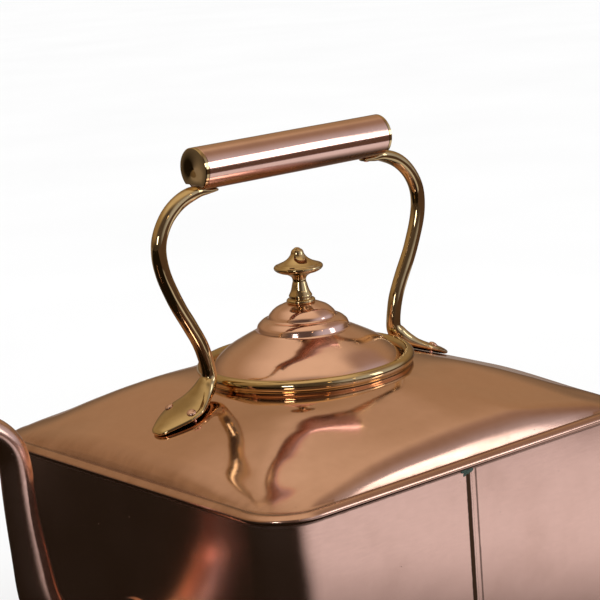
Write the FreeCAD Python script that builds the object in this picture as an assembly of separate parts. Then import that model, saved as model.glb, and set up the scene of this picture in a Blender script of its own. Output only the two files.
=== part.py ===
import FreeCAD, Part
import math
import os

# Square copper kettle: two lapped side sheets on a panned base, a domed shoulder with a
# folded rim, a swan-neck spout, a fixed handle on two brass arms and a lift-off lid.
#
# Frame: millimetres, +Z up, origin at the centre of the face that the kettle rests on.
# The spout points along -X, and the handle's grip runs along X.

Vec = FreeCAD.Vector

# ---------------------------------------------------------------- driving dimensions

# Body
BODY_ACROSS = 231.0       # side sheets, outside, flat to flat
BODY_CORNER = 22.0        # outside radius of the upright corners
SIDE_TALL = 140.0         # resting face to the underside of the rim
SHEET = 1.2               # copper sheet of the body
SIDE_LAP = 8.0            # far side sheet's tongue behind the spout side sheet
BASE_EDGE_TALL = 6.0      # edge of the base, turned up round the sides

# Rim, folded over an outward flange on the side sheets
RIM_OVERHANG = 3.0
RIM_TALL = 5.4
RIM_ROUND = 2.3
FLANGE_OUT = 1.5

# Shoulder, from the rim up to the flat round the mouth
SHOULDER_RISE = 26.1
LAND_R = 53.0             # flat that carries the filler ring

# Mouth
RING_R = 52.0             # centre line of the brass bead
BEAD_R = 3.0
BEAD_LIFT = 3.4           # centre line above the flat
COLLAR_R = 47.0           # outside of the collar's tube
COLLAR_DEEP = 9.0
COLLAR_SHEET = 1.2
COLLAR_LIP_R = 48.7
RING_FLAT = 0.4           # height cut off the bead's underside
RING_FOOT_TALL = 1.0      # flat foot inside the bead

# Lid
LID_R = 48.5
LID_SHEET = 1.1
LID_FLANGE_DEEP = 9.0
LID_CONE_RISE = 17.5      # edge up to the foot of the lower step
LOW_STEP_R = 23.3
LOW_STEP_RISE = 5.8
TOP_STEP_R = 17.4
TOP_STEP_RISE = 7.3
LID_TOP_R = 8.0
LOW_STEP_LAND = 2.655     # width of the lower step's land
LOW_STEP_ROUND = 0.8      # how far each step's side leans in over its round part
TOP_STEP_ROUND = 3.0
STEP_EDGE_DROP = 0.6      # fall of the lower step's land

# Knob
KNOB_TALL = 27.2
KNOB_CAP_R = 12.4
KNOB_FOOT_R = 7.3
KNOB_WAIST_R = 3.4
KNOB_NUB_R = 3.1
STUD_R = 1.5
STUD_HEAD_R = 2.2
STUD_HEAD_TALL = 0.9
WASHER_R = 6.0
WASHER_THICK = 1.0

# Handle
GRIP_LIFT = 106.0         # grip's axis above the ring's centre line
GRIP_LONG = 119.0         # over both end discs
GRIP_R = 10.5
GRIP_WALL = 1.0
END_DISC_THICK = 1.8
END_DISC_FLAT = 7.4       # axis down to the flat on the end disc
PUNCH_R = 0.9             # centre mark in the end disc
PUNCH_DEEP = 0.6
ARM_R = 3.75
ARM_BOW_OUT = 24.0        # how far the arm bows out past the grip
ARM_BOW_DROP = 22.5       # grip's underside down to the widest place of the bow
TONGUE_LONG = 13.0
TONGUE_WIDE = 8.0
TONGUE_DEEP = 2.8
TONGUE_SINK = 3.0         # tongue's top above the grip's lowest line, before it is fitted
FOOT_LONG = 35.0
FOOT_WIDE = 25.0
FOOT_THICK = 3.8
FOOT_RIVET_APART = 18.0
FOOT_RIVET_ALONG = 18.0   # from the foot's heel
HEEL_SET_BACK = 1.0       # heel outside the arm's waist

# Fastenings
RIVET_R = 1.5
RIVET_HEAD_R = 2.3
RIVET_HEAD_TALL = 1.1
SPOT_DEPTH = 0.25         # flat seat for a rivet's head, sunk in the foot
BURR_R = 4.0
BURR_THICK = 0.9
GRIP_RIVET_R = 1.2
GRIP_RIVET_DEEP = 6.0
GRIP_RIVET_IN = 9.1       # from the grip's end
GRIP_RIVET_HEAD_R = 2.04
GRIP_RIVET_HEAD_TALL = 0.84

# Spout
SPOUT_OUT = 57.6          # neck's axis out from the side sheet
SPOUT_ROOT_LIFT = 48.0    # centre of the root above the resting face
SPOUT_BEND_LIFT = 162.0   # where the neck starts to bend outwards
SPOUT_BEND_R = 23.0
SPOUT_BEND_ANGLE = 72.0
SPOUT_TIP_LONG = 11.0
SPOUT_SHEET = 1.1
ROOT_HALF_TALL = 28.0
ROOT_HALF_WIDE = 21.0
NECK_R = 7.4
TIP_R = 6.9
SPOUT_FLANGE_OUT = 6.0
STRAINER_HOLE_R = 3.2
STRAINER_PITCH = 10.0

# Clearances
SEAM_GAP = 0.1            # between sheets of one soldered seam
SEAT_GAP = 0.15           # under a piece that rests on a curved face
HOLE_GAP = 0.05           # round a rivet or stud
LID_GAP = 0.4             # round the lid's flange in the collar
LID_SEAT_GAP = 0.2        # under the lid's edge
ARM_RING_GAP = 2.0        # between an arm and the filler ring

# ---------------------------------------------------------------- worked-out values

HALF = BODY_ACROSS / 2
RIM_TOP = SIDE_TALL + RIM_TALL
LAND_Z = RIM_TOP + SHOULDER_RISE
RING_Z = LAND_Z + BEAD_LIFT
COLLAR_LIP_TOP = LAND_Z + SEAM_GAP + COLLAR_SHEET
LID_EDGE_Z = COLLAR_LIP_TOP + LID_SEAT_GAP + LID_SHEET
LID_TOP_Z = LID_EDGE_Z + LID_CONE_RISE + LOW_STEP_RISE + TOP_STEP_RISE
GRIP_Z = RING_Z + GRIP_LIFT
GRIP_HALF = GRIP_LONG / 2
ARM_WAIST = RING_R + BEAD_R + ARM_RING_GAP + ARM_R
FOOT_HEEL = ARM_WAIST + HEEL_SET_BACK
FLANGE_LOW = SIDE_TALL + (RIM_TALL - SHEET) / 2
FLANGE_TOP = FLANGE_LOW + SHEET

# Shoulder levels from the rim to the mouth: share of the way out, share of the rise,
# corner radius as a share of the half width, side radius as a multiple of the half width.
SHOULDER_LEVELS = (
    (1.0, 0.0, BODY_CORNER / HALF, 60.0),
    (0.955, 0.10, 0.22, 30.0),
    (0.875, 0.24, 0.26, 14.0),
    (0.69, 0.47, 0.34, 8.0),
    (0.36, 0.73, 0.56, 4.2),
    (0.15, 0.88, 0.78, 2.0),
    (0.0, 1.0, 1.0, 1.0),
)

# Spout's stations from root to bend: share of the way out, share of the height,
# heading in degrees above level, share of the way from the root's size to the neck's.
SPOUT_STATIONS = (
    (0.0, 0.0, 0.0, 0.0),
    (0.28, 0.02, 14.0, 0.20),
    (0.60, 0.13, 46.0, 0.56),
    (0.82, 0.31, 68.0, 0.79),
    (0.94, 0.55, 80.0, 0.92),
    (0.99, 0.82, 88.0, 0.99),
    (1.0, 1.0, 90.0, 1.0),
)

# Foot's outline from heel to snout: share of its length, share of its half width.
FOOT_OUTLINE = (
    (0.0, 0.34),
    (0.16, 0.56),
    (0.34, 0.91),
    (0.47, 1.0),
    (0.60, 0.93),
    (0.84, 0.50),
    (0.96, 0.24),
)

# Arm's bow, from the grip out to its widest place: share of the way out, share of the drop.
ARM_BOW = ((0.46, 0.18), (0.80, 0.52), (1.0, 1.0))

# Arm's sweep, from the bow in to the waist: share of the way out, share of the height.
ARM_SWEEP = ((0.95, 0.80), (0.67, 0.56), (0.38, 0.38), (0.12, 0.20), (0.0, 0.0))

# Arm's end over the foot: distance outside the waist, height above the shoulder.
ARM_LANDING = ((4.5, 5.4), (13.5, 1.6))

# Arm's start under the grip: distance past the grip's end, drop below its lowest line.
ARM_START = ((-4.0, 0.0), (3.0, 0.2))

# Lid's cone from its edge to the lower step: share of the lid's radius, share of the rise.
LID_CONE = ((1.0, 0.0), (0.925, 0.25), (0.665, 0.75))

# Knob's outline, from its foot to its nub: share of the knob's height, share of the radius
# of its neck, of its waist and of its cap in turn. The cap's step is a depth and a share.
KNOB_FOOT_BEAD = 1.1
KNOB_NECK = 0.74          # neck's radius as a share of the foot's
KNOB_NECK_CURVE = (0.22, 0.86)
KNOB_WAIST_CURVE = ((0.40, 1.0), (0.52, 1.5))
KNOB_CAP_UNDER = ((0.56, 0.62), (0.62, 0.93), (0.665, 1.0), (0.70, 0.93))
KNOB_CAP_STEP = (0.3, 0.84)
KNOB_CAP_OVER = (0.80, 0.55)
KNOB_NUB_START = 0.91

# ---------------------------------------------------------------- helpers


def rounded_square(half, corner, z):
    """Wire of a square with straight sides and round corners."""
    straight = half - corner
    edges = []
    for turn in range(4):
        angle = math.radians(90 * turn)
        side_start = turned(half, -straight, angle, z)
        side_end = turned(half, straight, angle, z)
        edges.append(Part.makeLine(side_start, side_end))
        reach = straight + corner * math.cos(math.pi / 4)
        corner_mid = turned(reach, reach, angle, z)
        corner_end = turned(straight, half, angle, z)
        edges.append(Part.Arc(side_end, corner_mid, corner_end).toShape())
    return Part.Wire(edges)


def turned(x, y, angle, z):
    """Point (x, y) turned about the vertical axis."""
    return Vec(x * math.cos(angle) - y * math.sin(angle), x * math.sin(angle) + y * math.cos(angle), z)


def square_block(half, z_low, z_high):
    """Upright rounded-square prism whose corners follow the body's."""
    corner = BODY_CORNER + half - HALF
    face = Part.Face(rounded_square(half, corner, z_low))
    return face.extrude(Vec(0, 0, z_high - z_low))


def cushion_wire(half, corner, side, z):
    """Wire of four bulged sides and four corners, all arcs that meet in tangents."""
    if side - corner < 1e-6:
        split = math.radians(22.5)
    else:
        split = math.acos((side - half) / (side - corner) / math.sqrt(2)) - math.pi / 4
    centre = (side - corner) * math.sin(split)
    edge_x = centre + corner * math.cos(split)
    edge_y = centre + corner * math.sin(split)
    reach = centre + corner * math.cos(math.pi / 4)
    edges = []
    for turn in range(4):
        angle = math.radians(90 * turn)
        start = turned(edge_x, -edge_y, angle, z)
        end = turned(edge_x, edge_y, angle, z)
        corner_end = turned(edge_y, edge_x, angle, z)
        edges.append(Part.Arc(start, turned(half, 0, angle, z), end).toShape())
        edges.append(Part.Arc(end, turned(reach, reach, angle, z), corner_end).toShape())
    return Part.Wire(edges)


def cylinder(radius, z_low, z_high):
    return Part.makeCylinder(radius, z_high - z_low, Vec(0, 0, z_low))


def cross_cylinder(radius, x_low, x_high, z):
    """Cylinder along X."""
    return Part.makeCylinder(radius, x_high - x_low, Vec(x_low, 0, z), Vec(1, 0, 0))


def button(radius, tall):
    """Low dome on the plane z = 0, as on a rivet's head."""
    ball = (radius ** 2 + tall ** 2) / (2 * tall)
    low = math.degrees(math.asin((ball - tall) / ball))
    cap = Part.makeSphere(ball, Vec(0, 0, tall - ball), Vec(0, 0, 1), low, 90, 360)
    return cap


def aimed(shape, at, direction):
    """Copy of a shape made along +Z at the origin, set at a point along a direction."""
    copy = shape.copy()
    copy.Placement = FreeCAD.Placement(at, FreeCAD.Rotation(Vec(0, 0, 1), direction))
    return copy


def lathe(points_wire):
    """Solid turned about the Z axis from a closed wire in the XZ plane."""
    return Part.Face(points_wire).revolve(Vec(0, 0, 0), Vec(0, 0, 1), 360)


def smooth(points):
    """One spline edge through points."""
    curve = Part.BSplineCurve()
    curve.interpolate(points)
    return curve.toShape()


def crossings(shape, start, direction, reach):
    """Distances along a straight line at which it enters and leaves a shape."""
    line = Part.makeLine(start, start + direction * reach)
    inside = line.common(shape)
    return sorted((vertex.Point - start).dot(direction) for vertex in inside.Vertexes)


def mirrored(shape):
    """The same shape on the other side of the YZ plane."""
    return shape.mirror(Vec(0, 0, 0), Vec(1, 0, 0))


# ---------------------------------------------------------------- body


def base_plate():
    """Bottom sheet with its edge turned up outside the sides."""
    outer = square_block(HALF + SEAM_GAP + SHEET, 0, BASE_EDGE_TALL)
    return outer.cut(square_block(HALF + SEAM_GAP, SHEET, BASE_EDGE_TALL + 1))


def side_sheets():
    """Two U-shaped sheets: the far one's tongues lie behind the spout one's edges."""
    inner = HALF - SHEET
    tube = square_block(HALF, SHEET, FLANGE_TOP).fuse(square_block(HALF + FLANGE_OUT, FLANGE_LOW, FLANGE_TOP))
    tube = tube.cut(square_block(inner, 0, FLANGE_TOP + 1)).removeSplitter()
    room = 2 * HALF
    half_space = Part.makeBox(room, 2 * room, 2 * room, Vec(SEAM_GAP / 2, -room, -room / 2))
    far = tube.common(half_space)
    spout = tube.common(mirrored(half_space))
    for y_low in (-inner, inner - SHEET):
        tongue = Part.makeBox(2 * SIDE_LAP, SHEET, FLANGE_LOW - SHEET, Vec(-SIDE_LAP, y_low, SHEET))
        far = far.fuse(tongue)
    return spout.cut(strainer_holes()), far.removeSplitter()


def strainer_holes():
    """Ring of holes, and one in its middle, where the spout leaves the body."""
    hole = cross_cylinder(STRAINER_HOLE_R, -HALF - SHEET, -HALF + 2 * SHEET, SPOUT_ROOT_LIFT)
    holes = [hole]
    for turn in range(6):
        angle = math.radians(60 * turn + 30)
        spread = Vec(0, STRAINER_PITCH * math.cos(angle), STRAINER_PITCH * math.sin(angle))
        holes.append(hole.translated(spread))
    return Part.makeCompound(holes)


def shoulder_level(level, inset):
    """One level of the shoulder, and the same level inside the sheet for an inset."""
    out, rise, corner_share, side_share = level
    half = LAND_R + out * (HALF - LAND_R)
    corner = corner_share * half
    side = side_share * half
    return cushion_wire(half - inset, corner - inset, side - inset, RIM_TOP + rise * SHOULDER_RISE - inset)


def shoulder_form(inset):
    """Solid under the shoulder's outer face, or inside its sheet for an inset."""
    return Part.makeLoft([shoulder_level(level, inset) for level in SHOULDER_LEVELS], True, False)


def shoulder_height(reach):
    """Height of the shoulder's outer face over the middle of a side."""
    levels = [(LAND_R + out * (HALF - LAND_R), RIM_TOP + rise * SHOULDER_RISE)
              for out, rise, corner, side in reversed(SHOULDER_LEVELS)]
    for (near, high), (far, low) in zip(levels, levels[1:]):
        if reach <= far:
            return high + (low - high) * (reach - near) / (far - near)
    return RIM_TOP


def shoulder():
    """Domed top sheet, with its edge folded over the flange of the side sheets."""
    rim = square_block(HALF + RIM_OVERHANG, SIDE_TALL, RIM_TOP)
    outer_edges = [edge for edge in rim.Edges if abs(edge.BoundBox.ZLength) < 1e-6]
    rim = rim.makeFillet(RIM_ROUND, outer_edges)
    sheet = rim.fuse(shoulder_form(0)).cut(shoulder_form(SHEET))
    sheet = sheet.cut(square_block(HALF - SHEET, SIDE_TALL - 1, RIM_TOP - SHEET))
    sheet = sheet.cut(square_block(HALF + SEAM_GAP, SIDE_TALL - 1, FLANGE_TOP + SEAM_GAP))
    slot = square_block(HALF + FLANGE_OUT + SEAM_GAP, FLANGE_LOW - SEAM_GAP, FLANGE_TOP + SEAM_GAP)
    sheet = sheet.cut(slot)
    sheet = sheet.cut(cylinder(COLLAR_R + SEAM_GAP, RIM_TOP, LAND_Z + 1))
    for line_start, direction in foot_rivet_lines():
        hole = aimed(cylinder(RIVET_R + HOLE_GAP, -20, 20), line_start, direction)
        sheet = sheet.cut(hole)
    return sheet


def mouth_collar():
    """Tube inside the mouth, with a lip that the lid's edge rests on."""
    lip = cylinder(COLLAR_LIP_R, LAND_Z + SEAM_GAP, COLLAR_LIP_TOP)
    tube = cylinder(COLLAR_R, COLLAR_LIP_TOP - COLLAR_DEEP, COLLAR_LIP_TOP)
    bore = cylinder(COLLAR_R - COLLAR_SHEET, LAND_Z - COLLAR_DEEP - 1, LAND_Z + BEAD_LIFT)
    return lip.fuse(tube).cut(bore).removeSplitter()


def filler_ring():
    """Brass bead round the mouth, flat where it sits on the shoulder."""
    bead = Part.makeTorus(RING_R, BEAD_R, Vec(0, 0, RING_Z))
    room = RING_R + 2 * BEAD_R
    bead = bead.cut(cylinder(room, RING_Z - 2 * BEAD_R, LAND_Z + SEAM_GAP + RING_FLAT))
    foot = cylinder(RING_R + BEAD_R / 2, LAND_Z + SEAM_GAP, LAND_Z + RING_FOOT_TALL)
    foot = foot.cut(cylinder(COLLAR_LIP_R + SEAM_GAP, LAND_Z - 1, RING_Z))
    inside = cylinder(LID_R + LID_GAP, LAND_Z - 1, RING_Z + BEAD_R)
    return bead.fuse(foot).cut(inside).removeSplitter()


# ---------------------------------------------------------------- spout


def spout_section(x, z, heading, half_tall, half_wide):
    """Oval wire across the spout at one station."""
    angle = math.radians(heading)
    up = Vec(math.sin(angle), 0, math.cos(angle))
    along = Vec(-math.cos(angle), 0, math.sin(angle))
    place = FreeCAD.Matrix(
        up.x * half_tall, 0, along.x, x,
        0, half_wide, 0, 0,
        up.z * half_tall, 0, along.z, z,
        0, 0, 0, 1)
    ring = Part.Wire(Part.makeCircle(1.0))
    return ring.transformGeometry(place)


def spout_form(inset):
    """Outer form of the spout, or its bore for an inset."""
    rise = SPOUT_BEND_LIFT - SPOUT_ROOT_LIFT
    wall = -HALF - SEAM_GAP
    sections = []
    for out, height, heading, slim in SPOUT_STATIONS:
        half_tall = ROOT_HALF_TALL + slim * (NECK_R - ROOT_HALF_TALL) - inset
        half_wide = ROOT_HALF_WIDE + slim * (NECK_R - ROOT_HALF_WIDE) - inset
        x = wall - out * (SPOUT_OUT - SEAM_GAP)
        z = SPOUT_ROOT_LIFT + height * rise
        sections.append(spout_section(x, z, heading, half_tall, half_wide))
    bend_x = -HALF - SPOUT_OUT - SPOUT_BEND_R
    steps = 4
    for step in range(1, steps + 1):
        turn = SPOUT_BEND_ANGLE * step / steps
        radius = NECK_R + (TIP_R - NECK_R) * step / steps - inset
        x = bend_x + SPOUT_BEND_R * math.cos(math.radians(turn))
        z = SPOUT_BEND_LIFT + SPOUT_BEND_R * math.sin(math.radians(turn))
        sections.append(spout_section(x, z, 90 - turn, radius, radius))
    heading = math.radians(90 - SPOUT_BEND_ANGLE)
    x -= SPOUT_TIP_LONG * math.cos(heading)
    z += SPOUT_TIP_LONG * math.sin(heading)
    sections.append(spout_section(x, z, 90 - SPOUT_BEND_ANGLE, TIP_R - inset, TIP_R - inset))
    return Part.makeLoft(sections, True, False)


def spout():
    """Hollow swan-neck spout with a flange brazed on the side sheet."""
    wall = -HALF - SEAM_GAP
    half_tall = ROOT_HALF_TALL + SPOUT_FLANGE_OUT
    half_wide = ROOT_HALF_WIDE + SPOUT_FLANGE_OUT
    rim = spout_section(wall, SPOUT_ROOT_LIFT, 0, half_tall, half_wide)
    flange = Part.Face(rim).extrude(Vec(-SPOUT_SHEET, 0, 0))
    body = spout_form(0).fuse(flange)
    return body.cut(spout_form(SPOUT_SHEET))


# ---------------------------------------------------------------- handle


def foot_rivet_lines():
    """Start on the shoulder and outward normal of each of the four foot rivets."""
    reach = FOOT_HEEL + FOOT_RIVET_ALONG
    step = 6.0
    drop = shoulder_height(reach - step) - shoulder_height(reach + step)
    tilt = math.atan2(drop, 2 * step)
    lines = []
    for side in (-1, 1):
        for y in (-FOOT_RIVET_APART / 2, FOOT_RIVET_APART / 2):
            start = Vec(side * reach, y, shoulder_height(reach))
            lines.append((start, Vec(side * math.sin(tilt), 0, math.cos(tilt))))
    return lines


def arm_path():
    """Centre line of the arm on the +X side, from the grip down to its foot."""
    under = GRIP_Z - GRIP_R
    bow_x = GRIP_HALF + ARM_BOW_OUT
    bow_z = under - ARM_BOW_DROP
    waist_z = RING_Z + 2 * BEAD_R
    points = [Vec(GRIP_HALF + past, 0, under - drop) for past, drop in ARM_START]
    for out, drop in ARM_BOW:
        points.append(Vec(GRIP_HALF + out * ARM_BOW_OUT, 0, under - drop * ARM_BOW_DROP))
    for out, high in ARM_SWEEP:
        points.append(Vec(ARM_WAIST + out * (bow_x - ARM_WAIST), 0, waist_z + high * (bow_z - waist_z)))
    for out, lift in ARM_LANDING:
        reach = ARM_WAIST + out
        points.append(Vec(reach, 0, shoulder_height(reach) + lift))
    return points


def foot_blank():
    """Spade-shaped pad under the arm, following the shoulder."""
    half_wide = FOOT_WIDE / 2
    points = [Vec(FOOT_HEEL + along * FOOT_LONG, wide * half_wide, 0) for along, wide in FOOT_OUTLINE]
    tip = Vec(FOOT_HEEL + FOOT_LONG, 0, 0)
    back = [Vec(point.x, -point.y, 0) for point in reversed(points)]
    outline = Part.Wire([smooth(points + [tip] + back), Part.makeLine(back[-1], points[0])])
    prism = Part.Face(outline).extrude(Vec(0, 0, LAND_Z + 2 * FOOT_THICK))
    return prism.common(shoulder_form(0).translated(Vec(0, 0, FOOT_THICK)))


def arm():
    """Brass arm on the +X side: tongue under the grip, bowed rod and riveted foot."""
    points = arm_path()
    path = Part.Wire(smooth(points))
    along = (points[1] - points[0]).normalize()
    section = Part.Wire(Part.makeCircle(ARM_R, points[0], along))
    rod = path.makePipeShell([section], True, False)
    heel = Part.makeSphere(ARM_R, points[-1])
    tongue_x = GRIP_HALF - TONGUE_LONG
    tongue_low = GRIP_Z - GRIP_R - TONGUE_DEEP
    tongue_corner = Vec(tongue_x, -TONGUE_WIDE / 2, tongue_low)
    tongue = Part.makeBox(TONGUE_LONG, TONGUE_WIDE, TONGUE_DEEP + TONGUE_SINK, tongue_corner)
    solid = rod.fuse([heel, tongue, foot_blank()])
    solid = solid.cut(cross_cylinder(GRIP_R + SEAM_GAP, 0, GRIP_HALF - END_DISC_THICK + SEAM_GAP, GRIP_Z))
    solid = solid.cut(end_disc(SEAM_GAP))
    solid = solid.cut(shoulder_form(0).translated(Vec(0, 0, SEAT_GAP)))
    solid = solid.cut(grip_rivet_hole())
    for start, direction in foot_rivet_lines():
        if start.x > 0:
            seat = top_of(solid, start, direction) - SPOT_DEPTH
            solid = solid.cut(aimed(cylinder(RIVET_R + HOLE_GAP, -20, 20), start, direction))
            solid = solid.cut(aimed(cylinder(RIVET_HEAD_R + SEAM_GAP, seat, seat + 10), start, direction))
    return max(solid.Solids, key=lambda piece: piece.Volume)


def top_of(foot, start, direction):
    """Height of the foot's top face along a rivet's line."""
    return crossings(foot, start, direction, 4 * FOOT_THICK)[-1]


def end_disc(grow):
    """Brass disc on the grip's +X end, flat underneath where the arm starts."""
    disc = cross_cylinder(GRIP_R + grow, GRIP_HALF - END_DISC_THICK, GRIP_HALF + grow, GRIP_Z)
    room = 4 * GRIP_R
    below_z = GRIP_Z - END_DISC_FLAT - grow - room
    below = Part.makeBox(room, room, room, Vec(GRIP_HALF - room / 2, -room / 2, below_z))
    disc = disc.cut(below)
    if grow > 0:
        return disc
    punch = Part.makeCone(PUNCH_R, 0, PUNCH_DEEP, Vec(GRIP_HALF, 0, GRIP_Z), Vec(-1, 0, 0))
    return disc.cut(punch)


def grip_rivet_hole():
    """Hole for the rivet that holds the +X tongue to the grip."""
    x = GRIP_HALF - GRIP_RIVET_IN
    hole = cylinder(GRIP_RIVET_R + HOLE_GAP, GRIP_Z - GRIP_R - 2 * TONGUE_DEEP, grip_rivet_top() + HOLE_GAP)
    return hole.translated(Vec(x, 0, 0))


def grip_rivet_top():
    return GRIP_Z - GRIP_R + GRIP_RIVET_DEEP


def grip_rivet():
    """Rivet up through the +X tongue and the tube into the core."""
    x = GRIP_HALF - GRIP_RIVET_IN
    low = GRIP_Z - GRIP_R - TONGUE_DEEP
    head = aimed(button(GRIP_RIVET_HEAD_R, GRIP_RIVET_HEAD_TALL), Vec(x, 0, low), Vec(0, 0, -1))
    shank = cylinder(GRIP_RIVET_R, low - SEAM_GAP, grip_rivet_top()).translated(Vec(x, 0, 0))
    return head.fuse(shank)


def grip_tube():
    """Copper tube between the end discs."""
    half = GRIP_HALF - END_DISC_THICK - SEAM_GAP
    tube = cross_cylinder(GRIP_R, -half, half, GRIP_Z)
    tube = tube.cut(cross_cylinder(GRIP_R - GRIP_WALL, -GRIP_HALF, GRIP_HALF, GRIP_Z))
    return tube.cut([grip_rivet_hole(), mirrored(grip_rivet_hole())])


def grip_core():
    """Wooden rod that fills the tube and keeps the heat from the hand."""
    half = GRIP_HALF - END_DISC_THICK - SEAM_GAP
    core = cross_cylinder(GRIP_R - GRIP_WALL - SEAM_GAP, -half, half, GRIP_Z)
    return core.cut([grip_rivet_hole(), mirrored(grip_rivet_hole())])


def foot_fastenings(arm_solid, shoulder_solid):
    """Rivets through the +X foot, and the burrs they are peened over inside."""
    rivets = []
    burrs = []
    for start, direction in foot_rivet_lines():
        if start.x < 0:
            continue
        asides = [Vec(0, offset, 0) for offset in (-BURR_R, -BURR_R / 2, BURR_R / 2, BURR_R)]
        deep = 10 * direction
        inside = min(crossings(shoulder_solid, start + aside - deep, direction, 20)[0] for aside in asides)
        burr_top = inside - deep.Length - SEAM_GAP
        burr_low = burr_top - BURR_THICK
        hole = cylinder(RIVET_R + HOLE_GAP, burr_low - 1, burr_top + 1)
        burr = cylinder(BURR_R, burr_low, burr_top).cut(hole)
        burrs.append(aimed(burr, start, direction))
        seat = top_of(arm_solid, start + Vec(0, RIVET_R + 2 * HOLE_GAP, 0), direction)
        head = button(RIVET_HEAD_R, RIVET_HEAD_TALL).translated(Vec(0, 0, seat))
        tail = button(RIVET_HEAD_R, RIVET_HEAD_TALL).rotated(Vec(0, 0, 0), Vec(1, 0, 0), 180)
        rivet = head.fuse([cylinder(RIVET_R, burr_low, seat), tail.translated(Vec(0, 0, burr_low))])
        rivets.append(aimed(rivet, start, direction))
    return Part.makeCompound(rivets), Part.makeCompound(burrs)


# ---------------------------------------------------------------- lid


def lid_form(inset):
    """Solid under the lid's outer face, or inside its sheet for an inset."""
    step_z = LID_EDGE_Z + LID_CONE_RISE
    low_top = step_z + LOW_STEP_RISE

    def at(r, z):
        return Vec(max(r - inset, 0.0), 0, z - inset)

    slope = [at(share * LID_R, LID_EDGE_Z + rise * LID_CONE_RISE) for share, rise in LID_CONE]
    cone = smooth(slope + [at(LOW_STEP_R, step_z)])
    land = at(TOP_STEP_R + LOW_STEP_LAND, low_top - STEP_EDGE_DROP)
    low_round = at(LOW_STEP_R - LOW_STEP_ROUND, step_z + 0.6 * LOW_STEP_RISE)
    low_step = Part.Arc(at(LOW_STEP_R, step_z), low_round, land).toShape()
    low_land = Part.makeLine(land, at(TOP_STEP_R, low_top))
    top_round = at(TOP_STEP_R - TOP_STEP_ROUND, low_top + 0.68 * TOP_STEP_RISE)
    top_step = Part.Arc(at(TOP_STEP_R, low_top), top_round, at(LID_TOP_R, LID_TOP_Z)).toShape()
    top = Part.makeLine(at(LID_TOP_R, LID_TOP_Z), Vec(0, 0, LID_TOP_Z - inset))
    low = LID_EDGE_Z - LID_SHEET - inset
    axis = Part.makeLine(Vec(0, 0, LID_TOP_Z - inset), Vec(0, 0, low))
    bottom = Part.makeLine(Vec(0, 0, low), Vec(LID_R - inset, 0, low))
    edge = Part.makeLine(Vec(LID_R - inset, 0, low), at(LID_R, LID_EDGE_Z))
    return lathe(Part.Wire([cone, low_step, low_land, top_step, top, axis, bottom, edge]))


def lid_dome():
    """Stepped copper lid."""
    dome = lid_form(0).cut(lid_form(LID_SHEET))
    return dome.cut(cylinder(STUD_R + HOLE_GAP, LID_EDGE_Z, LID_TOP_Z + 1))


def lid_flange():
    """Band under the lid that drops into the collar."""
    outer = COLLAR_R - COLLAR_SHEET - LID_GAP
    top = LID_EDGE_Z + 6
    band = cylinder(outer, LID_EDGE_Z - LID_FLANGE_DEEP, top)
    band = band.cut(cylinder(outer - LID_SHEET, LAND_Z - 20, top + 1))
    room = lid_form(LID_SHEET + SEAM_GAP).fuse(cylinder(LID_R, LAND_Z - 20, LID_EDGE_Z - 1))
    return band.common(room)


def lid_knob():
    """Turned brass knob: beaded foot, waist and mushroom cap with a nub."""
    bead = KNOB_FOOT_BEAD
    foot_in = KNOB_FOOT_R - bead
    neck_r = KNOB_NECK * KNOB_FOOT_R
    bore = STUD_R + HOLE_GAP
    step_deep, step_share = KNOB_CAP_STEP

    def at(r, height):
        return Vec(r, 0, LID_TOP_Z + height)

    foot_top = at(neck_r, 2 * bead)
    neck_high, neck_share = KNOB_NECK_CURVE
    waist = [foot_top, at(neck_share * neck_r, neck_high * KNOB_TALL)]
    waist += [at(share * KNOB_WAIST_R, high * KNOB_TALL) for high, share in KNOB_WAIST_CURVE]
    under = [at(share * KNOB_CAP_R, high * KNOB_TALL) for high, share in KNOB_CAP_UNDER]
    step = at(step_share * KNOB_CAP_R, KNOB_CAP_UNDER[-1][0] * KNOB_TALL - step_deep)
    over_high, over_share = KNOB_CAP_OVER
    nub = at(KNOB_NUB_R, KNOB_NUB_START * KNOB_TALL)
    over = [step, at(over_share * KNOB_CAP_R, over_high * KNOB_TALL), nub]
    edges = [Part.makeLine(at(bore, 0), at(foot_in, 0))]
    edges.append(Part.Arc(at(foot_in, 0), at(KNOB_FOOT_R, bead), at(foot_in, 2 * bead)).toShape())
    edges.append(Part.makeLine(at(foot_in, 2 * bead), foot_top))
    edges.append(smooth(waist + [under[0]]))
    edges.append(smooth(under))
    edges.append(Part.makeLine(under[-1], step))
    edges.append(smooth(over))
    edges.append(Part.makeLine(nub, at(KNOB_NUB_R, KNOB_TALL)))
    edges.append(Part.makeLine(at(KNOB_NUB_R, KNOB_TALL), at(bore, KNOB_TALL)))
    edges.append(Part.makeLine(at(bore, KNOB_TALL), at(bore, 0)))
    return lathe(Part.Wire(edges))


def knob_washer():
    """Washer under the lid that the stud is peened over."""
    top = LID_TOP_Z - LID_SHEET
    return cylinder(WASHER_R, top - WASHER_THICK, top).cut(cylinder(STUD_R + HOLE_GAP, top - 10, top + 1))


def knob_stud():
    """Stud through knob, lid and washer, peened at both ends."""
    low = LID_TOP_Z - LID_SHEET - WASHER_THICK
    high = LID_TOP_Z + KNOB_TALL
    head = button(STUD_HEAD_R, STUD_HEAD_TALL)
    tail = head.rotated(Vec(0, 0, 0), Vec(1, 0, 0), 180).translated(Vec(0, 0, low))
    return cylinder(STUD_R, low, high).fuse([head.translated(Vec(0, 0, high)), tail])


# ---------------------------------------------------------------- assembly


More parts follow.
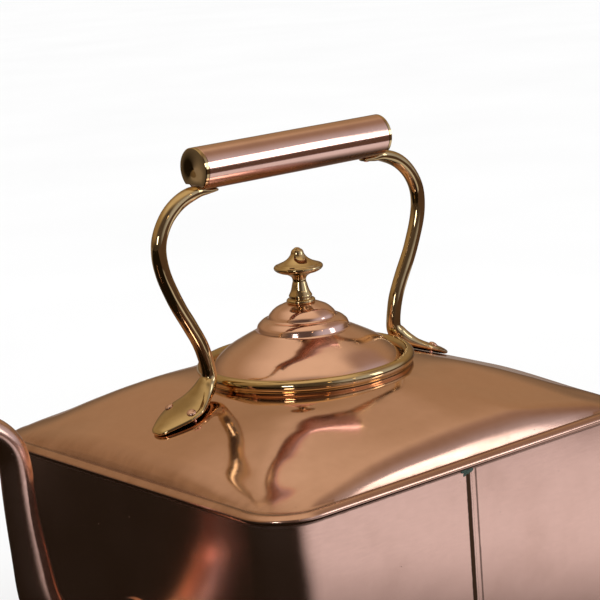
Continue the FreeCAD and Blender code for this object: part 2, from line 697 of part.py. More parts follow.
def main():
    """Builds every piece and writes one STEP file for each node."""
    spout_sheet, far_sheet = side_sheets()
    top = shoulder()
    far_arm = arm()
    far_rivets, far_burrs = foot_fastenings(far_arm, top)
    disc = end_disc(0)
    nodes = {
        "base_plate": base_plate(),
        "spout_side_sheet": spout_sheet,
        "far_side_sheet": far_sheet,
        "shoulder": top,
        "mouth_collar": mouth_collar(),
        "filler_ring": filler_ring(),
        "spout": spout(),
        "far_arm": far_arm,
        "spout_side_arm": mirrored(far_arm),
        "far_foot_rivets": far_rivets,
        "spout_side_foot_rivets": mirrored(far_rivets),
        "far_foot_burrs": far_burrs,
        "spout_side_foot_burrs": mirrored(far_burrs),
        "grip_tube": grip_tube(),
        "grip_core": grip_core(),
        "grip_rivets": Part.makeCompound([grip_rivet(), mirrored(grip_rivet())]),
        "far_end_disc": disc,
        "spout_side_end_disc": mirrored(disc),
        "lid_dome": lid_dome(),
        "lid_flange": lid_flange(),
        "lid_knob": lid_knob(),
        "knob_stud": knob_stud(),
        "knob_washer": knob_washer(),
    }
    os.makedirs("parts", exist_ok=True)
    for name, shape in nodes.items():
        shape.exportStep(os.path.join("parts", name + ".step"))
        print(name, len(shape.Solids), "solid(s)", round(shape.Volume / 1000, 2), "cm3", shape.isValid())


main()
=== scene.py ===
"""Square copper kettle with a swan-neck spout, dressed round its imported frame.

Lengths are metres. +Z is up, the spout points along -X and the grip runs along X.
"""
import logging
import math
from contextlib import contextmanager
from dataclasses import dataclass
from enum import Enum
from typing import Callable, Iterator, Sequence

import bpy
from mathutils import Matrix, Vector, noise
from mathutils.bvhtree import BVHTree


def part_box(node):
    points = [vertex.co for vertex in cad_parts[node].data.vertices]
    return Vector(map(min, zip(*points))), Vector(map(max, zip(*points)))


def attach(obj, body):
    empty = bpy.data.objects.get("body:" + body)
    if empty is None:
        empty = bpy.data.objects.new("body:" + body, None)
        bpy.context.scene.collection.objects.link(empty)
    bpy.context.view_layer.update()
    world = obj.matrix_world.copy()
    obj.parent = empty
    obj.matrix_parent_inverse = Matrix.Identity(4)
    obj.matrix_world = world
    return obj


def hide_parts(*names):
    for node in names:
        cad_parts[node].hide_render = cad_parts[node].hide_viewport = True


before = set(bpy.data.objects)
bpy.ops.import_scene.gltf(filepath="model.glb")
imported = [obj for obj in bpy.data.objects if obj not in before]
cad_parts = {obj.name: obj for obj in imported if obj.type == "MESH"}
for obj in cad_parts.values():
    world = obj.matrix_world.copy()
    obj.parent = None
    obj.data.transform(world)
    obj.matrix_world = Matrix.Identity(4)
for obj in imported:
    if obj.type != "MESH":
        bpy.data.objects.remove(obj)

LOG = logging.getLogger("kettle")
MM = 0.001

DOWN = Vector((0, 0, -1))
UP = Vector((0, 0, 1))
SOFT_NOISE = (0.3, 0.7)             # levels between which most of a soft noise lies

Colour = tuple[float, float, float]
Way = tuple[float, float, float]
Levels = tuple[float, float]
Table = tuple[tuple[float, float], ...]
Outline = list[tuple[float, float]]
Mesh = bpy.types.Object
Socket = bpy.types.NodeSocket


class Body(Enum):
    """Bodies of the frame that a piece can ride on."""

    KETTLE = "body"
    LID = "lid"


class Slot(Enum):
    """Finish slots of the record that the hand-made pieces stand in."""

    BODY = "copper_body"
    LID = "copper_lid"
    GRIP = "copper_grip"
    RIVET = "copper_rivet"
    CAST_BRASS = "cast_brass"
    TURNED_BRASS = "turned_brass"


# ---------------------------------------------------------------- curves and outlines


def mix(low: float, high: float, share: float) -> float:
    """Value a share of the way from low to high."""
    return low + (high - low) * share


def eased(low: float, high: float, value: float) -> float:
    """Smooth step from 0 at low to 1 at high."""
    share = min(max((value - low) / (high - low), 0.0), 1.0)
    return share * share * (3.0 - 2.0 * share)


def arc(centre: tuple[float, float], radius: float, start: float, end: float, count: int = 8) -> Outline:
    """Points on an arc.

    Args:
        centre: Centre of the arc.
        radius: Its radius.
        start: Angle of the first point in degrees.
        end: Angle of the last point in degrees.
        count: Number of spans.

    Returns:
        The points, both ends included.
    """
    points = []
    for step in range(count + 1):
        angle = math.radians(mix(start, end, step / count))
        points.append((centre[0] + radius * math.cos(angle), centre[1] + radius * math.sin(angle)))
    return points


def flowing(points: Sequence[Sequence[float]], spans: int = 6) -> list[tuple[float, ...]]:
    """Smooth line through points of any dimension.

    Args:
        points: The points that the line passes through.
        spans: Number of short spans between two of them.

    Returns:
        Points along the line, both ends included.
    """
    known = [Vector(point) for point in points]
    known = [2 * known[0] - known[1]] + known + [2 * known[-1] - known[-2]]
    line: list[tuple[float, ...]] = []
    for before, start, end, after in zip(known, known[1:], known[2:], known[3:]):
        for step in range(spans):
            t = step / spans
            bend = 2 * start + (end - before) * t
            bend += (2 * before - 5 * start + 4 * end - after) * t * t
            bend += (3 * start - before - 3 * end + after) * t ** 3
            line.append(tuple(bend / 2))
    line.append(tuple(known[-2]))
    return line


def along(table: Sequence[tuple[float, float]], place: float) -> float:
    """Smooth value of a table of (place, value) pairs at a place.

    Args:
        table: Pairs in rising order of place.
        place: Where to read it; it is held inside the table.

    Returns:
        The value there, on a curve through the pairs with no overshoot.
    """
    xs = [pair[0] for pair in table]
    ys = [pair[1] for pair in table]
    place = min(max(place, xs[0]), xs[-1])
    rates = [(b - a) / (d - c) for a, b, c, d in zip(ys, ys[1:], xs, xs[1:])]
    slopes = [rates[0]]
    for left, right in zip(rates, rates[1:]):
        slopes.append(2 * left * right / (left + right) if left * right > 0 else 0.0)
    slopes.append(rates[-1])
    span = next(i for i in range(len(rates)) if place <= xs[i + 1])
    width = xs[span + 1] - xs[span]
    t = (place - xs[span]) / width
    value = (2 * t ** 3 - 3 * t ** 2 + 1) * ys[span] + (3 * t ** 2 - 2 * t ** 3) * ys[span + 1]
    value += (t ** 3 - 2 * t ** 2 + t) * width * slopes[span]
    return value + (t ** 3 - t ** 2) * width * slopes[span + 1]


# ---------------------------------------------------------------- modelling by hand


def let_go() -> None:
    """Object mode with nothing selected."""
    if bpy.context.mode != "OBJECT":
        bpy.ops.object.mode_set(mode="OBJECT")
    bpy.ops.object.select_all(action="DESELECT")


def take(piece: Mesh) -> None:
    """Selects one piece, and nothing else, and makes it active.

    Args:
        piece: The piece to select.
    """
    let_go()
    piece.select_set(True)
    bpy.context.view_layer.objects.active = piece


@contextmanager
def editing(piece: Mesh) -> Iterator[None]:
    """Edit mode on one piece, with the selection as it was left on its mesh.

    Args:
        piece: The piece to edit.
    """
    take(piece)
    bpy.ops.object.mode_set(mode="EDIT")
    try:
        yield
    finally:
        bpy.ops.object.mode_set(mode="OBJECT")


def fresh(name: str) -> Mesh:
    """The primitive that was just added, under its own name.

    Args:
        name: The name that it gets.

    Returns:
        The piece.
    """
    piece = bpy.context.object
    piece.name = name
    piece.data.name = name
    return piece


def pick(piece: Mesh, wanted: Callable[[Vector], bool]) -> None:
    """Selects the vertices of a piece whose place is wanted.

    Args:
        piece: The piece, in object mode.
        wanted: Tells whether a place is wanted.
    """
    for polygon in piece.data.polygons:
        polygon.select = False
    for edge in piece.data.edges:
        edge.select = False
    for vertex in piece.data.vertices:
        vertex.select = wanted(vertex.co)


def finish_with(piece: Mesh, kind: str, **settings: object) -> None:
    """Adds a modifier with its settings and applies it.

    Args:
        piece: The piece to change.
        kind: The modifier's type.
        **settings: The modifier's settings by name.
    """
    take(piece)
    modifier = piece.modifiers.new(kind.title(), kind)
    for key, value in settings.items():
        setattr(modifier, key, value)
    bpy.ops.object.modifier_apply(modifier=modifier.name)


def close_up(piece: Mesh, gap: float = 1e-6) -> None:
    """Merges doubles and turns every face outwards.

    Args:
        piece: The piece to change.
        gap: Distance below which vertices merge.
    """
    with editing(piece):
        bpy.ops.mesh.select_all(action="SELECT")
        bpy.ops.mesh.remove_doubles(threshold=gap)
        bpy.ops.mesh.normals_make_consistent(inside=False)


def shade(piece: Mesh, angle: float = 40.0) -> None:
    """Smooth shading up to an angle in degrees."""
    take(piece)
    bpy.ops.object.shade_smooth_by_angle(angle=math.radians(angle))


def set_down(piece: Mesh, turn: Matrix, place: Vector) -> None:
    """Turns and moves a piece, and keeps that in its mesh.

    Args:
        piece: The piece to place.
        turn: How it is turned.
        place: Where it goes.
    """
    take(piece)
    piece.matrix_world = Matrix.Translation(place) @ turn.to_4x4()
    bpy.ops.object.transform_apply(location=True, rotation=True, scale=True)


def turned(name: str, outline: Outline, steps: int = 128) -> Mesh:
    """Piece turned on a lathe about the Z axis.

    Args:
        name: Name of the piece.
        outline: Radius and height of each point of its outline.
        steps: Number of facets round the axis.

    Returns:
        The piece, closed where its outline is.
    """
    let_go()
    bpy.ops.mesh.primitive_plane_add(size=MM, location=(0, 0, 0))
    piece = fresh(name)
    with editing(piece):
        bpy.ops.mesh.select_all(action="SELECT")
        bpy.ops.mesh.merge(type="CENTER")
        bpy.ops.transform.translate(value=(outline[0][0], 0, outline[0][1]))
        for here, there in zip(outline, outline[1:]):
            step = (there[0] - here[0], 0, there[1] - here[1])
            bpy.ops.mesh.extrude_vertices_move(TRANSFORM_OT_translate={"value": step})
        bpy.ops.mesh.select_all(action="SELECT")
        bpy.ops.mesh.spin(steps=steps, angle=math.tau, center=(0, 0, 0), axis=(0, 0, 1))
    close_up(piece)
    return piece


def drawn(name: str, sides: int, levels: int, place: Callable[[int, int], Vector],
          capped: bool = True) -> Mesh:
    """Tube drawn out level by level from a ring and then shaped.

    Args:
        name: Name of the piece.
        sides: Number of vertices round each level.
        levels: Number of levels.
        place: Gives the place of vertex (side, level).
        capped: Whether both ends are closed.

    Returns:
        The shaped piece.
    """
    let_go()
    bpy.ops.mesh.primitive_circle_add(vertices=sides, radius=1.0, fill_type="NOTHING", location=(0, 0, 0))
    piece = fresh(name)
    with editing(piece):
        bpy.ops.mesh.select_all(action="SELECT")
        for _ in range(levels - 1):
            bpy.ops.mesh.extrude_region_move(TRANSFORM_OT_translate={"value": (0, 0, 1)})
    if capped:
        for end in (0, levels - 1):
            pick(piece, lambda co, end=end: abs(co.z - end) < 0.5)
            with editing(piece):
                bpy.ops.mesh.edge_face_add()
                bpy.ops.mesh.poke()
    step = math.tau / sides
    ends = {}
    for vertex in piece.data.vertices:
        level = round(vertex.co.z)
        if vertex.co.xy.length < 0.5:
            ends[vertex.index] = level
            continue
        side = round(math.atan2(vertex.co.y, vertex.co.x) / step) % sides
        vertex.co = place(side, level)
    for index, level in ends.items():
        ring = [place(side, level) for side in range(sides)]
        piece.data.vertices[index].co = sum(ring, Vector()) / sides
    close_up(piece)
    return piece


def rippled(piece: Mesh, depth: float, pitch: float, seed: float) -> None:
    """Gives a piece the slight waves that hammer and hand leave.

    Args:
        piece: The piece to change.
        depth: How far a wave stands out.
        pitch: Distance from one wave to the next.
        seed: Shifts the pattern.
    """
    shift = Vector((seed, 2.0 * seed, 3.0 * seed))
    normals = [vertex.normal.copy() for vertex in piece.data.vertices]
    for vertex, normal in zip(piece.data.vertices, normals):
        vertex.co += normal * depth * noise.noise(vertex.co / pitch + shift)


def joined(name: str, pieces: Sequence[Mesh]) -> Mesh:
    """Joins pieces into one mesh under a new name.

    Args:
        name: The name of the result.
        pieces: The pieces to join.

    Returns:
        The joined piece.
    """
    take(pieces[0])
    for piece in pieces[1:]:
        piece.select_set(True)
    bpy.ops.object.join()
    return fresh(name)


def skin(piece: Mesh) -> BVHTree:
    """Faces of a piece, for finding where a line meets them."""
    places = [vertex.co for vertex in piece.data.vertices]
    return BVHTree.FromPolygons(places, [polygon.vertices for polygon in piece.data.polygons])


def fit_out(piece: Mesh, body: Body, slot: Slot, finish: "Metal", nodes: Sequence[str] = ()) -> Mesh:
    """Gives a piece its finish, its body and the CAD nodes it stands for.

    Args:
        piece: The finished mesh, at its place.
        body: The body that it rides on.
        slot: The record's slot for its finish; not used.
        finish: The finish itself.
        nodes: CAD nodes that it replaces.

    Returns:
        The same piece.
    """
    piece.data.materials.clear()
    piece.data.materials.append(finish.material())
    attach(piece, body.value)
    if nodes:
        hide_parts(*nodes)
    LOG.info("%s: %d faces", piece.name, len(piece.data.polygons))
    return piece


# ---------------------------------------------------------------- finishes


class NodeSheet:
    """A material's node tree, with short ways to add and join nodes."""

    output_kind = "ShaderNodeOutputMaterial"
    coordinates = "Object"

    def __init__(self, name: str) -> None:
        """Starts an empty tree under a name.

        Args:
            name: Name of the material or room.
        """
        self.result = self.started(name)
        self.result.use_nodes = True
        self.tree = self.result.node_tree
        self.tree.nodes.clear()
        self.place = self.add("ShaderNodeTexCoord").outputs[self.coordinates]

    def started(self, name: str) -> bpy.types.ID:
        """What the tree belongs to."""
        return bpy.data.materials.new(name)

    def add(self, kind: str, **values: object) -> bpy.types.Node:
        """Adds a node.

        Args:
            kind: Its type.
            **values: Socket values or links by socket name, and settings by their own name.

        Returns:
            The node.
        """
        node = self.tree.nodes.new(kind)
        for key, value in values.items():
            if hasattr(node, key):
                setattr(node, key, value)
                continue
            socket = node.inputs[key.replace("_", " ")]
            if isinstance(value, bpy.types.NodeSocket):
                self.tree.links.new(value, socket)
            else:
                socket.default_value = value
        return node

    def scaled(self, scale: Sequence[float]) -> Socket:
        """Object coordinates, scaled along each axis."""
        node = self.add("ShaderNodeMapping", Vector=self.place, Scale=scale)
        return node.outputs["Vector"]

    def cloud(self, scale: float, detail: float = 3.0, where: Socket | None = None) -> Socket:
        """Soft noise from 0 to 1, with a number of features to the metre."""
        node = self.add("ShaderNodeTexNoise", Vector=where or self.place, Scale=scale, Detail=detail)
        return node.outputs["Fac"]

    def spread(self, value: Socket, low: float, high: float, to_low: float = 0.0,
               to_high: float = 1.0) -> Socket:
        """Value stretched from one range to another and held there.

        Args:
            value: The value.
            low: Start of its range.
            high: End of its range.
            to_low: Result at the start.
            to_high: Result at the end.

        Returns:
            The stretched value.
        """
        node = self.add("ShaderNodeMapRange", Value=value, From_Min=low, From_Max=high)
        node.inputs["To Min"].default_value = to_low
        node.inputs["To Max"].default_value = to_high
        return node.outputs["Result"]

    def sum(self, kind: str, first: Socket | float, second: Socket | float) -> Socket:
        """Result of a math node of one kind.

        Args:
            kind: The node's operation.
            first: First number.
            second: Second number.

        Returns:
            The result.
        """
        node = self.add("ShaderNodeMath", operation=kind)
        for socket, value in zip(node.inputs, (first, second)):
            if isinstance(value, bpy.types.NodeSocket):
                self.tree.links.new(value, socket)
            else:
                socket.default_value = value
        return node.outputs["Value"]

    def vector(self, kind: str, first: Socket, second: Sequence[float] | None = None) -> bpy.types.Node:
        """Vector math node of one kind, from a socket and, where it needs one, a fixed vector.

        Args:
            kind: The node's operation.
            first: First vector.
            second: Second vector, where there is one.

        Returns:
            The node.
        """
        node = self.add("ShaderNodeVectorMath", operation=kind)
        self.tree.links.new(first, node.inputs[0])
        if second is not None:
            node.inputs[1].default_value = second
        return node

    def blend(self, share: Socket, first: Socket | Colour, second: Socket | Colour) -> Socket:
        """Mix of two colours by a share.

        Args:
            share: Share of the second colour.
            first: First colour.
            second: Second colour.

        Returns:
            The mixed colour.
        """
        node = self.add("ShaderNodeMix", data_type="RGBA")
        self.tree.links.new(share, node.inputs["Factor"])
        for name, value in (("A", first), ("B", second)):
            socket = next(s for s in node.inputs if s.name == name and s.type == "RGBA")
            if isinstance(value, bpy.types.NodeSocket):
                self.tree.links.new(value, socket)
            else:
                socket.default_value = (*value, 1.0)
        return next(s for s in node.outputs if s.type == "RGBA")

    def bump(self, height: Socket, distance: float, before: Socket | None = None) -> Socket:
        """Bump of a height field, on top of an earlier one.

        Args:
            height: The height field.
            distance: Height of its full range.
            before: An earlier bump, where there is one.

        Returns:
            The bumped normal.
        """
        node = self.add("ShaderNodeBump", Height=height, Distance=distance, Strength=1.0)
        if before is not None:
            self.tree.links.new(before, node.inputs["Normal"])
        return node.outputs["Normal"]

    def two_faced(self, seen: Socket, mirrored: Socket) -> Socket:
        """Shader that shows one thing by itself and another where polished metal mirrors it.

        Args:
            seen: Shader that shows by itself.
            mirrored: Shader that metal mirrors.

        Returns:
            The joined shader.
        """
        ray = self.add("ShaderNodeLightPath")
        node = self.add("ShaderNodeMixShader")
        for value, socket in zip((ray.outputs["Is Glossy Ray"], seen, mirrored), node.inputs):
            self.tree.links.new(value, socket)
        return node.outputs["Shader"]

    def close(self, shader: Socket) -> bpy.types.ID:
        """Joins a shader to the output and returns what the tree belongs to.

        Args:
            shader: The finished shader.

        Returns:
            The material or room.
        """
        node = self.add(self.output_kind)
        self.tree.links.new(shader, node.inputs["Surface"])
        return self.result


class RoomSheet(NodeSheet):
    """The room's node tree, where a place is a direction."""

    output_kind = "ShaderNodeOutputWorld"
    coordinates = "Generated"

    def started(self, name: str) -> bpy.types.ID:
        """The room that the tree belongs to."""
        return bpy.data.worlds.new(name)


@dataclass(frozen=True)
class Metal:
    """Polished metal with the tarnish, specks and fine scratches of use.

    A scale counts features to the metre, and levels are those of a noise where something starts
    and where it is full.
    """

    name: str
    colour: Colour
    tarnish: Colour
    tarnish_low: float = 0.50       # noise level where the tarnish starts
    tarnish_high: float = 0.80      # and where it is full
    tarnish_share: float = 0.35
    roughness: float = 0.12
    roughness_more: float = 0.10
    cloud_scale: float = 22.0
    cloud_rough: Levels = (0.4, 0.8)
    mottle_finer: float = 9.0       # how much finer the mottle is than the tarnish
    mottle_levels: Levels = (0.35, 0.75)
    mottle_share: float = 0.25      # how much of the tarnish it adds
    speck_scale: float = 150.0
    speck_size: float = 0.06
    speck_core: float = 0.3         # how much of a speck is full
    speck_levels: Levels = (0.62, 0.72)
    speck_share: float = 0.6
    # Colour of specks, and of painted shade in grooves and seams, beside the tarnish's.
    speck_and_shade_dark: float = 0.22        # its colour beside the tarnish's
    speck_rough: float = 0.3
    scratch_levels: Levels = (0.3, 0.75)
    scratch_depth: float = 0.6e-6
    scratch_scale: tuple[float, float, float] = (120.0, 900.0, 900.0)
    wave_depth: float = 0.0
    wave_scale: float = 30.0
    metallic: float = 1.0
    # How far the worn share, and painted shade where a finish paints it, darken towards the tarnish colour.
    wear_and_shade_stain: float = 0.0
    wear_rough: float = 0.0

    def material(self) -> bpy.types.Material:
        """The material, made once and then shared.

        Returns:
            The material.
        """
        made = bpy.data.materials.get(self.name)
        if made is not None:
            return made
        sheet = NodeSheet(self.name)
        cloud = sheet.cloud(self.cloud_scale, 5.0)
        stain = sheet.spread(cloud, self.tarnish_low, self.tarnish_high, 0.0, self.tarnish_share)
        fine = sheet.cloud(self.cloud_scale * self.mottle_finer, 6.0)
        mottle = sheet.spread(fine, *self.mottle_levels, 0.0, self.mottle_share * self.tarnish_share)
        stain = sheet.sum("ADD", stain, mottle)
        wear_and_shade = self.wear_and_shade(sheet)
        # The worn share, and on the grip painted shade, darkens the metal towards the tarnish colour.
        if wear_and_shade is not None:
            stain = sheet.sum("ADD", stain, sheet.sum("MULTIPLY", wear_and_shade, self.wear_and_shade_stain))
        colour = sheet.blend(stain, self.colour, self.tarnish)
        # In the shoulder and the side sheets this mask also holds painted shade in the groove, the seam and
        # under the rim.
        specks_and_shade = self.specks_and_shade(sheet)
        dark = tuple(self.speck_and_shade_dark * part for part in self.tarnish)
        colour = sheet.blend(specks_and_shade, colour, dark)
        streak = sheet.cloud(1.0, 4.0, sheet.scaled(self.scratch_scale))
        more = 0.5 * self.roughness_more
        rough = sheet.spread(streak, *self.scratch_levels, self.roughness, self.roughness + more)
        rough = sheet.sum("ADD", rough, sheet.spread(cloud, *self.cloud_rough, 0.0, more))
        rough = sheet.sum("ADD", rough, sheet.sum("MULTIPLY", specks_and_shade, self.speck_rough))
        if wear_and_shade is not None:
            rough = sheet.sum("ADD", rough, sheet.sum("MULTIPLY", wear_and_shade, self.wear_rough))
        normal = sheet.bump(streak, self.scratch_depth)
        if self.wave_depth > 0:
            normal = sheet.bump(sheet.cloud(self.wave_scale, 1.0), self.wave_depth, normal)
        shader = sheet.add("ShaderNodeBsdfPrincipled", Base_Color=colour, Roughness=rough, Normal=normal)
        shader.inputs["Metallic"].default_value = self.metallic
        return sheet.close(shader.outputs["BSDF"])

    def wear_and_shade(self, sheet: NodeSheet) -> Socket | None:
        """Worn share of the metal, and painted shade where a finish paints it, from 0 to 1; None where it
        has neither.
        """
        return None

    def specks_and_shade(self, sheet: NodeSheet) -> Socket:
        """Sparse dark specks, from 0 to the share that they cover.

        Args:
            sheet: Node tree of the material that it is for.

        Returns:
            The share.
        """
        cells = sheet.add("ShaderNodeTexVoronoi", Vector=sheet.place, Scale=self.speck_scale)
        near = sheet.spread(cells.outputs["Distance"], self.speck_size, self.speck_core * self.speck_size)
        some = sheet.spread(cells.outputs["Color"], *self.speck_levels)
        share = sheet.sum("MULTIPLY", near, some)
        return sheet.sum("MULTIPLY", share, self.speck_share)


@dataclass(frozen=True)
class ShoulderMetal(Metal):
    """Metal of the shoulder: duller by its rim, with painted shade and grime in the groove inside the rim.
    """

    straight: float = 93.5 * MM      # from the axis to where the corners start
    dull_past: float = 10.0 * MM
    dull_wide: float = 9.0 * MM
    streak_scale: Way = (14.0, 120.0, 120.0)
    streak_least: float = 0.55       # wear between two streaks
    # The dark line in the groove is painted shade and grime.
    groove_at: float = 21.5 * MM
    groove_half: float = 0.3 * MM
    groove_soft: float = 0.5 * MM
    groove_share: float = 0.5
    ragged_scale: float = 190.0
    ragged_by: float = 0.10 * MM

    def reach(self, sheet: NodeSheet) -> Socket:
        """Distance out from the square on which the corners are centred.

        Args:
            sheet: Node tree of the material that it is for.

        Returns:
            The distance.
        """
        size = sheet.vector("ABSOLUTE", sheet.place)
        past = sheet.vector("SUBTRACT", size.outputs["Vector"], (self.straight, self.straight, 1.0))
        held = sheet.vector("MAXIMUM", past.outputs["Vector"], (0.0, 0.0, 0.0))
        return sheet.vector("LENGTH", held.outputs["Vector"]).outputs["Value"]

    def wear_and_shade(self, sheet: NodeSheet) -> Socket:
        """Grows from the dome to the rim, in long rubbed streaks.

        Args:
            sheet: Node tree of the material that it is for.

        Returns:
            The wear, from 0 to 1.
        """
        grown = sheet.spread(self.reach(sheet), self.dull_past, self.dull_past + self.dull_wide)
        streaks = sheet.cloud(1.0, 3.0, sheet.scaled(self.streak_scale))
        return sheet.sum("MULTIPLY", grown, sheet.spread(streaks, *SOFT_NOISE, self.streak_least, 1.0))

    def specks_and_shade(self, sheet: NodeSheet) -> Socket:
        """Dark speck marks, with the groove's painted shade and grime, from 0 to the share that they cover.

        Args:
            sheet: Node tree of the material that it is for.

        Returns:
            The share.
        """
        cloud = sheet.cloud(self.ragged_scale, 3.0)
        ragged = sheet.spread(cloud, *SOFT_NOISE, -self.ragged_by, self.ragged_by)
        off = sheet.sum("ABSOLUTE", sheet.sum("SUBTRACT", self.reach(sheet), self.groove_at), 0.0)
        off = sheet.sum("ADD", off, ragged)
        # Painted shade and grime along the groove.
        edge = self.groove_half + self.groove_soft
        groove = sheet.spread(off, edge, self.groove_half, 0.0, self.groove_share)
        return sheet.sum("MAXIMUM", super().specks_and_shade(sheet), groove)


@dataclass(frozen=True)
class GripMetal(Metal):
    """Metal of the grip, with painted shade: darker and browner towards its underside."""

    # Painted shade: below this height the grip darkens towards its tarnish colour, fully over the depth
    # below it.
    shade_below: float = 277.5 * MM
    shade_deep: float = 3.5 * MM

    def wear_and_shade(self, sheet: NodeSheet) -> Socket:
        """Painted shade that grows towards the underside of the grip."""
        way = sheet.add("ShaderNodeSeparateXYZ", Vector=sheet.place)
        return sheet.spread(way.outputs["Z"], self.shade_below, self.shade_below - self.shade_deep)


@dataclass(frozen=True)
class SeamedMetal(Metal):
    """Metal of the side sheets, with painted shade and old grime in the lap's seam and in the crevice under
    the rim.
    """

    # The seam's dark band and the thin line beside it are painted shadow and grime in the lap.
    seam_at: float = -2.4 * MM
    seam_half: float = 1.1 * MM
    seam_share: float = 1.0
    line_at: float = 2.6 * MM        # thin line beside the seam
    line_half: float = 0.3 * MM
    line_share: float = 0.7
    line_soft: float = 0.5 * MM
    seam_past: float = 100 * MM      # from the middle plane to where the front starts
    # Painted shade and grime under the rim's overhang, growing up to this height.
    crevice_from: float = 138.7 * MM
    crevice_before: float = 0.4 * MM
    crevice_after: float = 0.2 * MM
    crevice_share: float = 0.7
    ragged_scale: float = 260.0
    ragged_by: float = 0.12 * MM

    def specks_and_shade(self, sheet: NodeSheet) -> Socket:
        """Dark speck marks, with the painted shade and grime of the seam and of the crevice under the rim,
        from 0 to the share that they cover.

        Args:
            sheet: Node tree of the material that it is for.

        Returns:
            The share.
        """
        way = sheet.add("ShaderNodeSeparateXYZ", Vector=sheet.place)
        cloud = sheet.cloud(self.ragged_scale, 3.0)
        ragged = sheet.spread(cloud, *SOFT_NOISE, -self.ragged_by, self.ragged_by)
        facing = sheet.sum("ABSOLUTE", way.outputs["Y"], 0.0)
        front = sheet.spread(facing, self.seam_past, self.seam_past + MM)
        dirt_and_shade = super().specks_and_shade(sheet)
        # Painted shadow and grime along the seam and the line beside it.
        seam = (self.seam_at, self.seam_half, self.seam_share)
        line_beside = (self.line_at, self.line_half, self.line_share)
        for place, half, share in (seam, line_beside):
            off = sheet.sum("ABSOLUTE", sheet.sum("SUBTRACT", way.outputs["X"], place), 0.0)
            off = sheet.sum("ADD", off, ragged)
            line = sheet.spread(off, half + self.line_soft, half, 0.0, share)
            dirt_and_shade = sheet.sum("MAXIMUM", dirt_and_shade, sheet.sum("MULTIPLY", line, front))
        # Painted shade and grime in the crevice under the rim: darker from just below the rim's lower edge
        # upwards.
        high = sheet.sum("ADD", way.outputs["Z"], ragged)
        crevice_start = self.crevice_from - self.crevice_before
        crevice_full = self.crevice_from + self.crevice_after
        crevice = sheet.spread(high, crevice_start, crevice_full, 0.0, self.crevice_share)
        return sheet.sum("MAXIMUM", dirt_and_shade, crevice)


COPPER: Colour = (0.955, 0.638, 0.538)
OLD_COPPER: Colour = (0.42, 0.22, 0.12)
BRASS: Colour = (0.76, 0.58, 0.31)
OLD_BRASS: Colour = (0.22, 0.145, 0.065)
TIN: Colour = (0.72, 0.71, 0.68)


class Finishes:
    """Every finish of the kettle."""

    shoulder = ShoulderMetal("aged_domed_copper", COPPER, OLD_COPPER, roughness=0.065, roughness_more=0.07,
                             tarnish_share=0.22, wear_and_shade_stain=0.55, wear_rough=0.12)
    side = SeamedMetal("aged_side_copper", COPPER, OLD_COPPER, roughness=0.15, tarnish_share=0.15,
                       wave_depth=0.25 * MM)
    spout = Metal("aged_spout_copper", COPPER, OLD_COPPER, roughness=0.16, tarnish_share=0.45)
    base = Metal("aged_base_copper", COPPER, OLD_COPPER, roughness=0.26, roughness_more=0.2,
                 tarnish_share=0.7)
    lid = Metal("aged_lid_copper", COPPER, OLD_COPPER, roughness=0.085, roughness_more=0.06,
                tarnish_share=0.18)
    # The grip's darker underside is painted shade.
    grip = GripMetal("aged_grip_copper", COPPER, OLD_COPPER, roughness=0.09, roughness_more=0.07,
                     tarnish_share=0.25, wear_and_shade_stain=0.80, wear_rough=0.10)
    rivet = Metal("aged_rivet_copper", COPPER, OLD_COPPER, roughness=0.2, tarnish_share=0.5)
    tinned = Metal("aged_tinned_copper", TIN, (0.30, 0.28, 0.25), roughness=0.34, roughness_more=0.2)
    cast_brass = Metal("aged_cast_brass", BRASS, OLD_BRASS, roughness=0.05, roughness_more=0.04,
                       tarnish_share=0.62)
    turned_brass = Metal("aged_turned_brass", BRASS, OLD_BRASS, roughness=0.05, roughness_more=0.04,
                         tarnish_share=0.50)
    core = Metal("aged_wood_core", (0.30, 0.17, 0.08), (0.14, 0.08, 0.04), roughness=0.6, metallic=0.0)
    crust = Metal("aged_verdigris", (0.05, 0.09, 0.07), (0.015, 0.022, 0.018), roughness=0.55,
                  tarnish_share=0.9, cloud_scale=400.0, metallic=0.0)


# ---------------------------------------------------------------- studio


@dataclass(frozen=True)
class Wall:
    """Part of the room that the metal mirrors, and the directions that it fills.

    It starts where a direction's cosine with the wall's way passes one value, and is full at another.
    """

    name: str
    colour: Colour
    way: Way
    start: float
    full: float
    flat: bool = False              # whether directions are stretched upwards first, which flattens it


@dataclass(frozen=True)
class Panel:
    """Rectangular light with its name, centre, width and height, and how bright its face looks."""

    name: str
    place: Way
    wide: float
    tall: float
    radiance: float
    colour: Colour = (1.0, 1.0, 1.0)


LAMP_WARM: Colour = (1.0, 0.72, 0.36)


